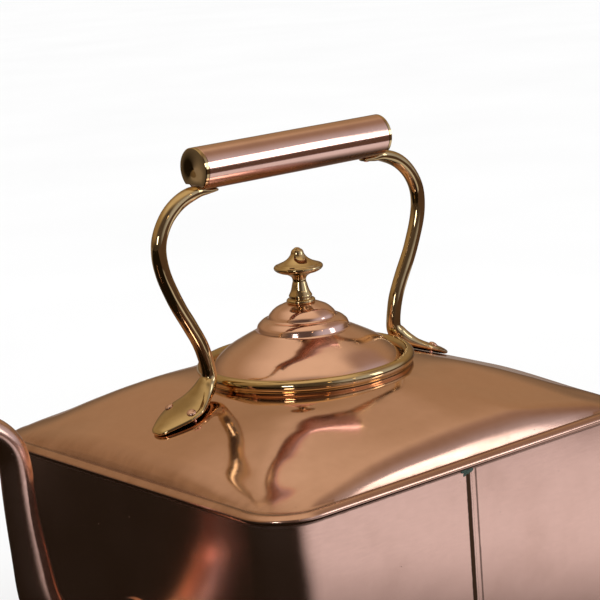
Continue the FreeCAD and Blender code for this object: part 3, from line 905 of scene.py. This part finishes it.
@dataclass
class Studio:
    """Floor, light and camera."""

    azimuth: float = -39.01
    elevation: float = 12.06
    roll: float = 4.46
    distance: float = 0.99501
    aim: Way = (0.0, 0.0007, 0.2057)
    lens: float = 119.1
    sensor: float = 36.0
    farthest: float = 60.0
    floor_half: float = 8.0
    floor_drop: float = 0.2 * MM
    floor_grain: float = 3.0
    floor_pale: Colour = (0.86, 0.86, 0.86)
    floor_paler: Colour = (0.88, 0.88, 0.88)
    room_white: float = 1.13
    table_reach: float = 0.60
    table_edge: float = 0.06
    table_far: Colour = (0.012, 0.008, 0.004)
    table_dark: Colour = (0.10, 0.060, 0.042)
    table_back: Colour = (0.30, 0.235, 0.19)
    table_bright: Colour = (0.71, 0.675, 0.685)
    bright_way: Way = (0.70, -0.71, 0.0)
    bright_start: Levels = (0.20, 0.36)
    back_way: Way = (0.68, 0.73, 0.0)
    back_start: Levels = (0.1, 0.7)
    wall_low: Colour = (0.17, 0.110, 0.060)
    wall_stretch: Way = (1.0, 1.0, 2.2)
    walls: tuple[Wall, ...] = (
        Wall("warm", (0.345, 0.235, 0.125), (0.0, 0.0, 1.0), 0.0, 0.45),
        Wall("ceiling", (0.72, 0.57, 0.39), (0.0, 0.0, 1.0), 0.55, 1.0),
        Wall("shade", (0.30, 0.21, 0.145), (0.72, -0.15, 0.68), 0.90, 0.995),
        Wall("near", (0.085, 0.062, 0.05), (-0.61, -0.75, 0.25), 0.50, 0.88),
        Wall("cool", (0.52, 0.52, 0.58), (0.534, -0.729, 0.428), 0.62, 0.97, flat=True),
        Wall("dark", (0.05, 0.035, 0.025), (-0.90, -0.10, -0.42), 0.35, 0.85, flat=True),
    )
    panel_aim: Way = (0.0, 0.0, 0.25)
    panels: tuple[Panel, ...] = (
        Panel("window", (0.905, -1.115, 0.60), 0.30, 0.68, 2.5),
        Panel("side_window", (-1.18, -0.70, 0.60), 0.26, 0.30, 6.0),
        Panel("lamp_1", (-0.30, -1.14, 0.85), 0.07, 0.07, 5.0, LAMP_WARM),
        Panel("lamp_2", (0.25, -1.15, 0.80), 0.06, 0.06, 5.0, LAMP_WARM),
    )

    def build(self) -> None:
        """Sets up everything that isn't the kettle."""
        self.floor()
        self.room()
        for panel in self.panels:
            self.light(panel)
        self.camera()
        scene = bpy.context.scene
        scene.view_settings.view_transform = "Standard"
        scene.view_settings.look = "None"

    def floor(self) -> None:
        """Wide pale floor, with the lit table top that the metal mirrors."""
        let_go()
        bpy.ops.mesh.primitive_plane_add(size=2 * self.floor_half, location=(0, 0, -self.floor_drop))
        floor = fresh("studio_floor")
        take(floor)
        bpy.ops.object.transform_apply(location=True, rotation=True, scale=True)
        sheet = NodeSheet("pale_floor")
        grain = sheet.spread(sheet.cloud(self.floor_grain, 2.0), *SOFT_NOISE)
        colour = sheet.blend(grain, self.floor_pale, self.floor_paler)
        pale = sheet.add("ShaderNodeBsdfDiffuse", Color=colour)
        mirrored = sheet.add("ShaderNodeEmission", Color=self.table(sheet))
        shader = sheet.two_faced(pale.outputs["BSDF"], mirrored.outputs["Emission"])
        floor.data.materials.append(sheet.close(shader))

    def table(self, sheet: NodeSheet) -> Socket:
        """Colour of the lit table top that the metal mirrors: bright in front, dark beyond and behind.

        Args:
            sheet: Node tree of the floor.

        Returns:
            The colour.
        """
        reach = sheet.vector("LENGTH", sheet.place)
        front = sheet.vector("DOT_PRODUCT", sheet.place, self.bright_way)
        lit = sheet.spread(front.outputs["Value"], *self.bright_start)
        near = sheet.spread(reach.outputs["Value"], self.table_reach + self.table_edge, self.table_reach)
        share = sheet.sum("MULTIPLY", lit, near)
        back = sheet.vector("DOT_PRODUCT", sheet.place, self.back_way)
        behind = sheet.spread(back.outputs["Value"], *self.back_start)
        far = sheet.blend(behind, self.table_far, self.table_back)
        beyond = sheet.blend(lit, far, self.table_dark)
        return sheet.blend(share, beyond, self.table_bright)

    def room(self) -> None:
        """White room for the floor, with the warm walls that polished metal mirrors."""
        sheet = RoomSheet("studio_room")
        stretched = sheet.vector("MULTIPLY", sheet.place, self.wall_stretch)
        flat = sheet.vector("NORMALIZE", stretched.outputs["Vector"])
        colour: Socket | Colour = self.wall_low
        for wall in self.walls:
            direction = flat.outputs["Vector"] if wall.flat else sheet.place
            toward = sheet.vector("DOT_PRODUCT", direction, wall.way)
            share = sheet.add("ShaderNodeMapRange", label=wall.name, interpolation_type="SMOOTHSTEP",
                              Value=toward.outputs["Value"], From_Min=wall.start, From_Max=wall.full)
            colour = sheet.blend(share.outputs["Result"], colour, wall.colour)
        mirrored = sheet.add("ShaderNodeBackground", Color=colour)
        plain = sheet.add("ShaderNodeBackground", Color=(1, 1, 1, 1), Strength=self.room_white)
        shader = sheet.two_faced(plain.outputs["Background"], mirrored.outputs["Background"])
        bpy.context.scene.world = sheet.close(shader)

    def light(self, panel: Panel) -> None:
        """Area light for a panel, facing the kettle.

        Args:
            panel: The panel.
        """
        light = bpy.data.lights.new(panel.name, "AREA")
        light.shape = "RECTANGLE"
        light.size = panel.wide
        light.size_y = panel.tall
        light.energy = panel.radiance * math.pi * panel.wide * panel.tall
        light.color = panel.colour
        lamp = bpy.data.objects.new(panel.name, light)
        place = Vector(panel.place)
        facing = (place - Vector(self.panel_aim)).to_track_quat("Z", "Y").to_matrix().to_4x4()
        lamp.matrix_world = Matrix.Translation(place) @ facing
        bpy.context.scene.collection.objects.link(lamp)

    def camera(self) -> None:
        """Camera at the height and angle of a seated viewer, slightly tilted."""
        turn = math.radians(self.azimuth)
        rise = math.radians(self.elevation)
        tilt = math.radians(self.roll)
        right = Vector((math.cos(turn), math.sin(turn), 0))
        back = Vector((math.sin(turn) * math.cos(rise), -math.cos(turn) * math.cos(rise), math.sin(rise)))
        up = back.cross(right)
        side = math.cos(tilt) * right - math.sin(tilt) * up
        top = math.sin(tilt) * right + math.cos(tilt) * up
        view = bpy.data.cameras.new("view")
        view.lens = self.lens
        view.sensor_width = self.sensor
        view.clip_end = self.farthest
        camera = bpy.data.objects.new("view", view)
        axes = Matrix((side, top, back)).transposed().to_4x4()
        camera.matrix_world = Matrix.Translation(Vector(self.aim) + back * self.distance) @ axes
        bpy.context.scene.collection.objects.link(camera)
        bpy.context.scene.camera = camera


# ---------------------------------------------------------------- shoulder


@dataclass
class Casing:
    """Domed shoulder with its folded rim, the bead round the mouth, and the sheets below."""

    corner: float = 22 * MM          # side sheets, outside
    overhang: float = 3.0 * MM       # rim past the side sheets
    rim_tall: float = 5.4 * MM
    nose: float = 1.65 * MM
    groove_in: float = 1.0 * MM      # from where the corners end to the groove inside the rim
    land: float = 53.0 * MM
    mouth: float = 47.2 * MM
    sheet: float = 1.1 * MM
    sides: int = 384
    throat_levels: int = 3
    dome_levels: int = 64
    bead: float = 3.0 * MM
    bead_inside: float = 2.9 * MM
    bead_foot: float = 1.2 * MM
    bead_ripple: float = 0.07 * MM
    ripple: float = 0.10 * MM
    ripple_long: float = 34 * MM
    ripple_short: float = 15 * MM
    ripple_short_share: float = 0.4
    calm_by_rim: Levels = (4 * MM, 18 * MM)
    calm_by_land: float = 12 * MM
    cornered_from: float = 0.30      # share of the way to a corner where its fall takes over
    crust_at: Way = (-2.9 * MM, 0.1 * MM, -1.3 * MM)    # from the middle of the rim's lower edge
    crust_size: Way = (2.9 * MM, 0.9 * MM, 1.9 * MM)

    # Groove inside the rim in millimetres, out from the corners' square and up from the rim's top.
    rim_groove: Table = ((-0.9, -0.9), (-0.45, -1.15), (0.1, -1.1), (1.2, -1.65))
    # Fall in millimetres below the land at shares of the way out, over a side's middle and at a corner.
    side_fall: Table = ((0.0, 0.0), (0.2, 3.7), (0.4, 7.9), (0.6, 12.2), (0.75, 15.5), (0.86, 18.2),
                        (0.93, 20.6), (0.97, 23.0), (0.99, 25.2), (1.0, 27.0))
    corner_fall: Table = ((0.0, 0.0), (0.2, 1.8), (0.4, 6.8), (0.6, 13.4), (0.8, 20.7), (0.92, 24.4),
                          (1.0, 27.0))
    # The front side is flatter by the mouth and swells above its rim, most of all right of its middle.
    front_fall: Table = ((0.0, 0.0), (0.1, 0.8), (0.2, 2.1), (0.3, 3.8), (0.4, 5.7), (0.6, 9.6), (0.8, 13.9),
                         (0.873, 16.2), (0.935, 19.6), (0.971, 22.9), (0.99, 25.4), (1.0, 27.0))
    # Share of that fall along the front side, by the distance from its middle in metres.
    front_swell: Table = ((-0.108, 0.0), (-0.06, 0.40), (-0.02, 0.66), (0.015, 0.95), (0.040, 0.95),
                          (0.062, 0.60), (0.085, 0.30), (0.108, 0.0))

    def __post_init__(self) -> None:
        """Reads the frame's own places."""
        low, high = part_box("shoulder")
        self.top = high.z
        self.half = high.x - self.overhang
        self.rim_low = low.z
        self.rim_top = low.z + self.rim_tall
        self.surface: BVHTree | None = None

    def build(self) -> None:
        """Builds the shoulder and bead, and dresses the sheets that stay."""
        self.shoulder()
        self.mouth_bead()
        for node in ("spout_side_sheet", "far_side_sheet"):
            dress(node, Finishes.side)
        self.crust()
        dress("base_plate", Finishes.base)
        dress("mouth_collar", Finishes.tinned)
        for node in ("far_foot_burrs", "spout_side_foot_burrs"):
            dress(node, Finishes.rivet)

    def square(self, side: int, half: float) -> tuple[Vector, Vector, float]:
        """Place on a rounded square at one of the shoulder's sides.

        Args:
            side: Number of the vertex round the shoulder.
            half: Half width of the square.

        Returns:
            The place, the way out there, and how far round the corner it lies, from 0 to 1.
        """
        corner = self.corner + half - self.half
        straight = half - corner
        quarter = self.sides // 4
        turn, index = divmod(side + quarter // 2, quarter)
        length = 2 * straight + corner * math.pi / 2
        run = (index / quarter) * length - length / 2
        if abs(run) <= straight:
            place = Vector((half, run, 0))
            out = Vector((1, 0, 0))
        else:
            angle = math.copysign((abs(run) - straight) / corner, run)
            out = Vector((math.cos(angle), math.sin(angle), 0))
            place = Vector((straight, math.copysign(straight, run), 0)) + corner * out
        spin = Matrix.Rotation(turn * math.pi / 2, 3, "Z")
        return spin @ place, spin @ out, abs(run) / (length / 2)

    def dome(self, side: int, share: float) -> Vector:
        """Place on the dome at a share of the way from the land to the rim.

        Args:
            side: Number of the vertex round the shoulder.
            share: Share of the way, from 0 to 1.

        Returns:
            The place.
        """
        angle = math.tau * side / self.sides
        ring = self.land * Vector((math.cos(angle), math.sin(angle), 0))
        edge, out, round_corner = self.square(side, self.half - self.groove_in)
        place = ring.lerp(edge, share)
        cornered = eased(self.cornered_from, 1.0, round_corner)
        fall = mix(along(self.side_fall, share), along(self.corner_fall, share), cornered)
        facing = max(0.0, -out.y) * along(self.front_swell, edge.x)
        fall = mix(fall, along(self.front_fall, share), facing)
        place.z = self.top - fall * MM
        return place

    def rim(self, side: int, step: int) -> Vector:
        """Place on the folded rim, from the groove out, round and under to the side sheet.

        Args:
            side: Number of the vertex round the shoulder.
            step: Number of the point on the outline of the rim.

        Returns:
            The place.
        """
        out_by, up_by = self.rim_outline[step]
        place = self.square(side, self.half + out_by)[0]
        place.z = self.rim_top + up_by
        return place

    def shoulder(self) -> None:
        """Domed top sheet, from the mouth to the underside of its rim."""
        low = self.rim_low - self.rim_top
        nose = (self.overhang - self.nose, low + self.nose)
        self.rim_outline = [(out * MM, up * MM) for out, up in self.rim_groove]
        self.rim_outline += arc(nose, self.nose, 55, -75, 10)
        self.rim_outline += [(0.9 * MM, low), (0.25 * MM, low)]
        throat = self.throat_levels
        levels = throat + self.dome_levels + len(self.rim_outline)

        def place(side: int, level: int) -> Vector:
            """Place of one vertex of the shoulder.

            Args:
                side: Number of the vertex round the shoulder.
                level: Number of the level, from the mouth out.

            Returns:
                The place.
            """
            if level < throat:
                angle = math.tau * side / self.sides
                radius = mix(self.mouth, self.land, level / throat)
                return Vector((radius * math.cos(angle), radius * math.sin(angle), self.top))
            if level < throat + self.dome_levels:
                return self.dome(side, (level - throat) / (self.dome_levels - 1))
            return self.rim(side, level - throat - self.dome_levels)

        piece = drawn("domed_shoulder", self.sides, levels, place, capped=False)
        self.soften(piece)
        self.surface = skin(piece)
        finish_with(piece, "SOLIDIFY", thickness=self.sheet, offset=-1.0, use_quality_normals=True)
        shade(piece, 50)
        fit_out(piece, Body.KETTLE, Slot.BODY, Finishes.shoulder, ["shoulder"])

    def soften(self, piece: Mesh) -> None:
        """Turns the shoulder's faces up, and gives the dome slight hand-beaten waves.

        Args:
            piece: The shoulder before it gets its thickness.
        """
        if piece.data.polygons[0].normal.z < 0:
            with editing(piece):
                bpy.ops.mesh.select_all(action="SELECT")
                bpy.ops.mesh.flip_normals()
        shift = Vector((7, 3, 1))
        for vertex in piece.data.vertices:
            inward = self.half - max(abs(vertex.co.x), abs(vertex.co.y))
            share = eased(*self.calm_by_rim, inward)
            share *= eased(self.land, self.land + self.calm_by_land, vertex.co.xy.length)
            wave = noise.noise(vertex.co / self.ripple_long)
            wave += self.ripple_short_share * noise.noise(vertex.co / self.ripple_short + shift)
            vertex.co.z += share * self.ripple * wave

    def height(self, x: float, y: float) -> float:
        """Height of the shoulder's outer face over a point.

        Args:
            x: Place along the grip.
            y: Place across it.

        Returns:
            The height.
        """
        hit = self.surface.ray_cast(Vector((x, y, 1.0)), DOWN)[0]
        return hit.z

    def mouth_bead(self) -> None:
        """Brass bead round the mouth, cast and filed by hand."""
        low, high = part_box("filler_ring")
        centre = high.x - self.bead
        middle = high.z - self.bead
        outline = arc((centre, middle), self.bead, -62, 242, 26)
        outline += [(centre - self.bead_foot, low.z), (centre + self.bead_foot, low.z), outline[0]]
        outline = [(max(r, centre - self.bead_inside), z) for r, z in outline]
        piece = turned("mouth_bead", outline, 224)
        rippled(piece, self.bead_ripple, 9 * MM, 4.0)
        shade(piece, 45)
        fit_out(piece, Body.KETTLE, Slot.CAST_BRASS, Finishes.cast_brass, ["filler_ring"])

    def crust(self) -> None:
        """Small lump of verdigris where the front seam meets the rim."""
        let_go()
        bpy.ops.mesh.primitive_ico_sphere_add(subdivisions=4, radius=1.0, location=(0, 0, 0))
        piece = fresh("seam_crust")
        aside, inward, above = self.crust_at
        middle = Vector((aside, -self.half + inward, self.rim_low + above))
        lumps = 1.7
        depth = 0.8
        for vertex in piece.data.vertices:
            swell = 1.0 + depth * noise.noise(lumps * vertex.co + Vector((3.0, 1.0, 2.0)))
            size = Vector(self.crust_size) * swell
            vertex.co = middle + Vector([a * b for a, b in zip(vertex.co, size)])
        shade(piece, 60)
        fit_out(piece, Body.KETTLE, Slot.BODY, Finishes.crust)


def dress(node: str, finish: Metal) -> None:
    """Gives a CAD node a finish in place of its own.

    Args:
        node: Name of the node.
        finish: Its finish.
    """
    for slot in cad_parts[node].material_slots:
        slot.material = finish.material()
    LOG.info("%s: dressed", node)


# ---------------------------------------------------------------- handle


@dataclass
class Handle:
    """Copper grip on two brass arms whose feet are riveted to the shoulder."""

    casing: Casing
    rod: float = 3.75 * MM
    foot_long: float = 33.4 * MM
    foot_wide: float = 25.0 * MM
    bow_out: float = 24.0 * MM
    bow_drop: float = 22.5 * MM
    waist: float = 60.75 * MM
    disc_thick: float = 1.8 * MM
    disc_flat: float = 7.4 * MM
    disc_edge: float = 0.35 * MM
    sleeve_wall: float = 1.0 * MM
    sleeve_edge: float = 0.3 * MM
    rivet_head: float = 2.3 * MM
    rivet_shank: float = 1.4 * MM
    rivet_deep: float = 4.0 * MM
    rivet_out: float = 19 * MM       # from the arm's waist
    rivet_apart: float = 18 * MM
    arm_around: int = 40
    arm_spans: int = 5

    # Tongue in millimetres: out from the grip's end, down from its underside, half thick, half wide, and
    # how square it is.
    tongue: tuple[tuple[float, ...], ...] = (
        (-12.6, 0.75, 0.75, 2.6, 0.6), (-6, 0.85, 1.5, 3.6, 0.6), (0.6, 0.35, 3.0, 4.4, 0.5))
    # Shares of the way from the grip out and down to the bow, and of the way back and down to the waist.
    upper_bow: Table = ((0.46, 0.19), (0.80, 0.52), (1.0, 1.0))
    lower_bow: Table = ((0.95, 0.80), (0.67, 0.56), (0.38, 0.38), (0.12, 0.20))
    # Foot: share of its length, height over the shoulder and half thickness in millimetres, and share of
    # its width.
    foot: tuple[tuple[float, ...], ...] = (
        (0.035, 7.6, 4.2, 0.46), (0.13, 5.0, 4.2, 0.60), (0.26, 3.4, 3.4, 0.80), (0.38, 2.8, 3.0, 0.97),
        (0.49, 2.5, 2.8, 1.0), (0.60, 2.3, 2.6, 0.95), (0.74, 2.1, 2.3, 0.78), (0.87, 1.8, 1.9, 0.57),
        (0.95, 1.5, 1.5, 0.41), (0.995, 1.2, 0.8, 0.22))
    foot_square: float = 0.1

    def __post_init__(self) -> None:
        """Reads the grip's place from the frame."""
        low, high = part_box("grip_tube")
        self.grip_z = (low.z + high.z) / 2
        self.grip_r = (high.z - low.z) / 2
        self.tube_half = high.x
        self.grip_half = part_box("far_end_disc")[1].x
        self.bead_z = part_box("filler_ring")[1].z - self.casing.bead

    def build(self) -> None:
        """Builds the grip, both arms and their rivets."""
        self.sleeve()
        arms = {}
        for side, name in ((1, "far"), (-1, "spout_side")):
            arm = self.arm(side, name)
            arms[side] = arm
            self.end_disc(side, name)
            self.rivets(side, name, arm)
        self.tongue_rivets(arms)
        dress("grip_core", Finishes.core)

    def sleeve(self) -> None:
        """Copper tube of the grip, with softly broken edges."""
        half = self.tube_half
        edge = self.sleeve_edge
        wall = self.sleeve_wall
        count = 24
        middle = [(self.grip_r, mix(-half + edge, half - edge, step / count)) for step in range(count + 1)]
        outline = [(self.grip_r - wall, half), (self.grip_r - wall, -half), (self.grip_r - edge, -half)]
        outline += middle + [(self.grip_r - edge, half), (self.grip_r - wall, half)]
        piece = turned("grip_sleeve", outline, 128)
        set_down(piece, Matrix.Rotation(math.pi / 2, 3, "Y"), Vector((0, 0, self.grip_z)))
        rippled(piece, 0.06 * MM, 22 * MM, 9.0)
        shade(piece, 35)
        fit_out(piece, Body.KETTLE, Slot.GRIP, Finishes.grip, ["grip_tube"])

    def end_disc(self, side: int, name: str) -> None:
        """Brass disc that closes one end of the grip, filed flat over the arm.

        Args:
            side: 1 for the far side, -1 for the spout's side.
            name: Name of that side.
        """
        radius = self.grip_r
        edge = self.disc_edge
        thick = self.disc_thick
        outline = [(0.0, 0.0), (radius, 0.0), (radius, thick - edge), (radius - edge, thick)]
        outline += [(1.0 * MM, thick), (0.35 * MM, thick - 0.25 * MM), (0.0, thick - 0.4 * MM)]
        piece = turned(f"{name}_end_plate", outline, 96)
        facing = Matrix.Rotation(side * math.pi / 2, 3, "Y")
        set_down(piece, facing, Vector((side * (self.grip_half - thick), 0, self.grip_z)))
        with editing(piece):
            bpy.ops.mesh.select_all(action="SELECT")
            cut = (0, 0, self.grip_z - self.disc_flat)
            bpy.ops.mesh.bisect(plane_co=cut, plane_no=(0, 0, -1), use_fill=True, clear_outer=True)
        close_up(piece)
        shade(piece, 30)
        node = f"{name}_end_disc"
        fit_out(piece, Body.KETTLE, Slot.CAST_BRASS, Finishes.cast_brass, [node])

    def stations(self) -> list[tuple[float, ...]]:
        """Middle line and size of the arm, from its tongue to its snout.

        Returns:
            For each station the distance out, the height, half its thickness, half its
            width, and how square it is.
        """
        under = self.grip_z - self.grip_r
        bow_x = self.grip_half + self.bow_out
        bow_z = under - self.bow_drop
        waist_z = self.bead_z + 6 * MM
        rod = self.rod
        marks = [(self.grip_half + out * MM, under - drop * MM, thick * MM, wide * MM, square)
                 for out, drop, thick, wide, square in self.tongue]
        for out, drop in self.upper_bow:
            marks.append((self.grip_half + out * self.bow_out, under - drop * self.bow_drop, rod, rod, 0.0))
        for out, high in self.lower_bow:
            marks.append((mix(self.waist, bow_x, out), mix(waist_z, bow_z, high), rod, rod, 0.0))
        marks.append((self.waist, waist_z, 0.98 * rod, 1.04 * rod, 0.0))
        heel = self.waist + 1.0 * MM
        for out, lift, thick, wide in self.foot:
            x = heel + out * self.foot_long
            z = self.casing.height(x, 0.0) + lift * MM
            marks.append((x, z, thick * MM, wide * self.foot_wide / 2, self.foot_square))
        return marks

    def arm(self, side: int, name: str) -> Mesh:
        """One cast arm: tongue, bowed rod and spade-shaped foot in one piece.

        Args:
            side: 1 for the far side, -1 for the spout's side.
            name: Name of that side.

        Returns:
            The arm.
        """
        marks = self.stations()
        middle = flowing([mark[:3] for mark in marks], self.arm_spans)
        sizes = flowing([mark[2:] for mark in marks], self.arm_spans)
        around = self.arm_around
        heel = self.waist + 2.0 * MM

        def place(index: int, level: int) -> Vector:
            """Place of one vertex of the arm.

            Args:
                index: Number of the vertex round the arm.
                level: Number of the level, from the tongue on.

            Returns:
                The place.
            """
            x, z = middle[level][0], middle[level][1]
            before = middle[max(level - 1, 0)]
            after = middle[min(level + 1, len(middle) - 1)]
            way = Vector((after[0] - before[0], 0, after[1] - before[1])).normalized()
            up = Vector((-way.z, 0, way.x))
            thick, wide, square = sizes[level]
            angle = math.tau * index / around
            power = 1.0 - 0.5 * min(max(square, 0.0), 1.0)
            rise = math.copysign(abs(math.sin(angle)) ** power, math.sin(angle))
            reach = math.copysign(abs(math.cos(angle)) ** power, math.cos(angle))
            point = Vector((x, reach * wide, z)) + up * rise * thick
            if x > heel and z < self.bead_z + 4 * MM and level > len(middle) // 2:
                lift = self.casing.height(side * min(point.x, 0.110), point.y)
                bed = eased(0.0, self.foot_wide / 2, -point.y) if side < 0 else 0.0
                point.z = max(point.z, lift + mix(0.2, 1.1, bed) * MM)
            return Vector((side * point.x, point.y, point.z))

        piece = drawn(f"{name}_cast_arm", around, len(middle), place)
        rippled(piece, 0.10 * MM, 7 * MM, 3.0 + side)
        finish_with(piece, "SUBSURF", levels=1, render_levels=1)
        shade(piece, 60)
        node = f"{name}_arm"
        return fit_out(piece, Body.KETTLE, Slot.CAST_BRASS, Finishes.cast_brass, [node])

    def rivets(self, side: int, name: str, arm: Mesh) -> None:
        """Two peened copper rivets through one foot.

        Args:
            side: 1 for the far side, -1 for the spout's side.
            name: Name of that side.
            arm: The arm that they go through.
        """
        faces = skin(arm)
        x = side * (self.waist + self.rivet_out)
        heads = []
        for y in (-self.rivet_apart / 2, self.rivet_apart / 2):
            place, normal, _, _ = faces.ray_cast(Vector((x, y, self.bead_z + 20 * MM)), DOWN)
            head = self.rivet_head
            outline = [(0.0, -self.rivet_deep), (self.rivet_shank, -self.rivet_deep)]
            outline += [(self.rivet_shank, -0.1 * MM)]
            outline += [(head * 0.94, -0.1 * MM), (head, 0.15 * MM)]
            outline += [(head * math.cos(a), 0.15 * MM + 1.0 * MM * math.sin(a))
                        for a in (math.radians(15 * k) for k in range(1, 7))]
            rivet = turned(f"{name}_rivet", outline, 40)
            set_down(rivet, UP.rotation_difference(normal).to_matrix(), place)
            heads.append(rivet)
        piece = joined(f"{name}_foot_rivet_pair", heads)
        rippled(piece, 0.10 * MM, 2.2 * MM, 5.0 + side)
        shade(piece, 50)
        fit_out(piece, Body.KETTLE, Slot.RIVET, Finishes.rivet, [f"{name}_foot_rivets"])

    def tongue_rivets(self, arms: dict[int, Mesh]) -> None:
        """Rivets that hold the tongues under the grip, filed nearly flush.

        Args:
            arms: Both arms by their side, 1 or -1.
        """
        low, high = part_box("grip_rivets")
        heads = []
        for side, arm in arms.items():
            x = side * (high.x - self.rivet_head)
            under = skin(arm).ray_cast(Vector((x, 0, low.z - 20 * MM)), UP)[0]
            outline = [(0.0, 0.0), (1.0 * MM, 0.05 * MM), (1.5 * MM, 0.2 * MM), (1.7 * MM, 0.5 * MM)]
            outline += [(1.2 * MM, 0.8 * MM), (1.2 * MM, high.z - under.z), (0.0, high.z - under.z)]
            head = turned("tongue_rivet", outline, 32)
            set_down(head, Matrix.Identity(3), Vector((x, 0, under.z - 0.25 * MM)))
            heads.append(head)
        piece = joined("tongue_rivet_pair", heads)
        shade(piece, 50)
        fit_out(piece, Body.KETTLE, Slot.RIVET, Finishes.rivet, ["grip_rivets"])


# ---------------------------------------------------------------- lid


@dataclass
class Lid:
    """Stepped copper lid with a turned brass knob."""

    sheet: float = 1.0 * MM
    low_rise: float = 5.8 * MM
    cone_rise: float = 17.5 * MM
    knob_cap: float = 12.4 * MM
    knob_foot: float = 7.3 * MM
    knob_waist: float = 3.4 * MM

    def build(self) -> None:
        """Builds the lid's dome, knob and stud."""
        self.dome()
        self.knob()
        self.stud()
        dress("lid_flange", Finishes.tinned)
        dress("knob_washer", Finishes.rivet)

    def dome(self) -> None:
        """Spun copper dome with two round steps."""
        low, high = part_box("lid_dome")
        radius, top = high.x, high.z
        edge = low.z + 1.1 * MM
        foot = edge + self.cone_rise
        mid = foot + self.low_rise
        outline = [(1.6 * MM, top), (7.0 * MM, top)]
        outline += flowing([(9.2 * MM, top - 0.35 * MM), (13.4 * MM, top - 2.3 * MM),
                            (16.2 * MM, top - 4.9 * MM), (17.3 * MM, mid + 0.5 * MM)], 8)
        outline += flowing([(17.9 * MM, mid - 0.05 * MM), (20.2 * MM, mid - 0.7 * MM),
                            (22.4 * MM, mid - 2.6 * MM), (23.2 * MM, mid - 4.4 * MM),
                            (23.5 * MM, foot + 0.35 * MM)], 7)
        rise = self.cone_rise
        outline += flowing([(24.2 * MM, foot - 0.25 * MM), (0.665 * radius, edge + 0.75 * rise),
                            (0.81 * radius, edge + 0.52 * rise), (0.925 * radius, edge + 0.25 * rise),
                            (radius - 0.5 * MM, edge + 0.4 * MM)], 14)
        outline += arc((radius - 0.7 * MM, edge - 0.2 * MM), 0.7 * MM, 30, -60, 4)
        outline += [(radius - 1.2 * MM, edge - 1.0 * MM)]
        inner = [(max(r - 0.8 * self.sheet, 1.6 * MM), z - self.sheet) for r, z in reversed(outline[:-6])]
        outline += inner + [outline[0]]
        piece = turned("lid_cap", outline, 192)
        rippled(piece, 0.05 * MM, 16 * MM, 2.0)
        shade(piece, 40)
        fit_out(piece, Body.LID, Slot.LID, Finishes.lid, ["lid_dome"])

    def knob(self) -> None:
        """Turned knob: beaded foot, waist, and cap with a scored line."""
        low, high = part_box("lid_knob")
        z, tall = low.z, high.z - low.z
        cap, foot = self.knob_cap, self.knob_foot
        outline: Outline = [(1.55 * MM, z), (foot - 1.1 * MM, z)]
        outline += arc((foot - 1.1 * MM, z + 1.1 * MM), 1.1 * MM, -80, 80, 8)
        outline += [(0.80 * foot, z + 2.25 * MM), (0.775 * foot, z + 2.6 * MM)]
        outline += flowing([(0.79 * foot, z + 3.0 * MM), (0.80 * foot, z + 3.9 * MM),
                            (0.64 * foot, z + 0.23 * tall), (1.12 * self.knob_waist, z + 0.35 * tall),
                            (self.knob_waist, z + 0.42 * tall), (1.2 * self.knob_waist, z + 0.49 * tall),
                            (0.55 * cap, z + 0.55 * tall), (0.80 * cap, z + 0.585 * tall),
                            (0.95 * cap, z + 0.625 * tall), (cap, z + 0.665 * tall),
                            (0.965 * cap, z + 0.70 * tall), (0.90 * cap, z + 0.712 * tall)], 6)
        scored_line = [(0.885, 0.700), (0.86, 0.704), (0.845, 0.722)]
        outline += [(out * cap, z + up * tall) for out, up in scored_line]
        outline += flowing([(0.82 * cap, z + 0.728 * tall), (0.62 * cap, z + 0.765 * tall),
                            (0.42 * cap, z + 0.825 * tall), (0.29 * cap, z + 0.90 * tall),
                            (0.25 * cap, z + 0.955 * tall), (0.20 * cap, z + 0.99 * tall),
                            (0.13 * cap, z + tall)], 6)
        outline += [outline[0]]
        piece = turned("lid_finial", outline, 96)
        rippled(piece, 0.08 * MM, 5 * MM, 6.0)
        shade(piece, 50)
        fit_out(piece, Body.LID, Slot.TURNED_BRASS, Finishes.turned_brass, ["lid_knob"])

    def stud(self) -> None:
        """Stud through the knob, peened over at its top."""
        low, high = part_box("knob_stud")
        head = 2.1 * MM
        rise = 1.5 * MM
        tail = [(2.2 * MM * math.sin(a), low.z + 0.9 * MM * (1 - math.cos(a)))
                for a in (math.radians(15 * k) for k in range(7))]
        outline = tail + [(1.5 * MM, low.z + 0.9 * MM), (1.5 * MM, high.z - rise)]
        outline += [(head * math.cos(a), high.z - rise + rise * math.sin(a))
                    for a in (math.radians(10 * k) for k in range(10))]
        piece = turned("finial_stud", outline, 48)
        rippled(piece, 0.12 * MM, 2.4 * MM, 8.0)
        shade(piece, 50)
        fit_out(piece, Body.LID, Slot.TURNED_BRASS, Finishes.turned_brass, ["knob_stud"])


# ---------------------------------------------------------------- assembly


def main() -> None:
    """Builds the studio and the kettle."""
    logging.basicConfig(level=logging.INFO, format="%(name)s %(message)s")
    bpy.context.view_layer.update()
    Studio().build()
    casing = Casing()
    casing.build()
    Handle(casing).build()
    Lid().build()
    dress("spout", Finishes.spout)


if __name__ == "__main__":
    main()
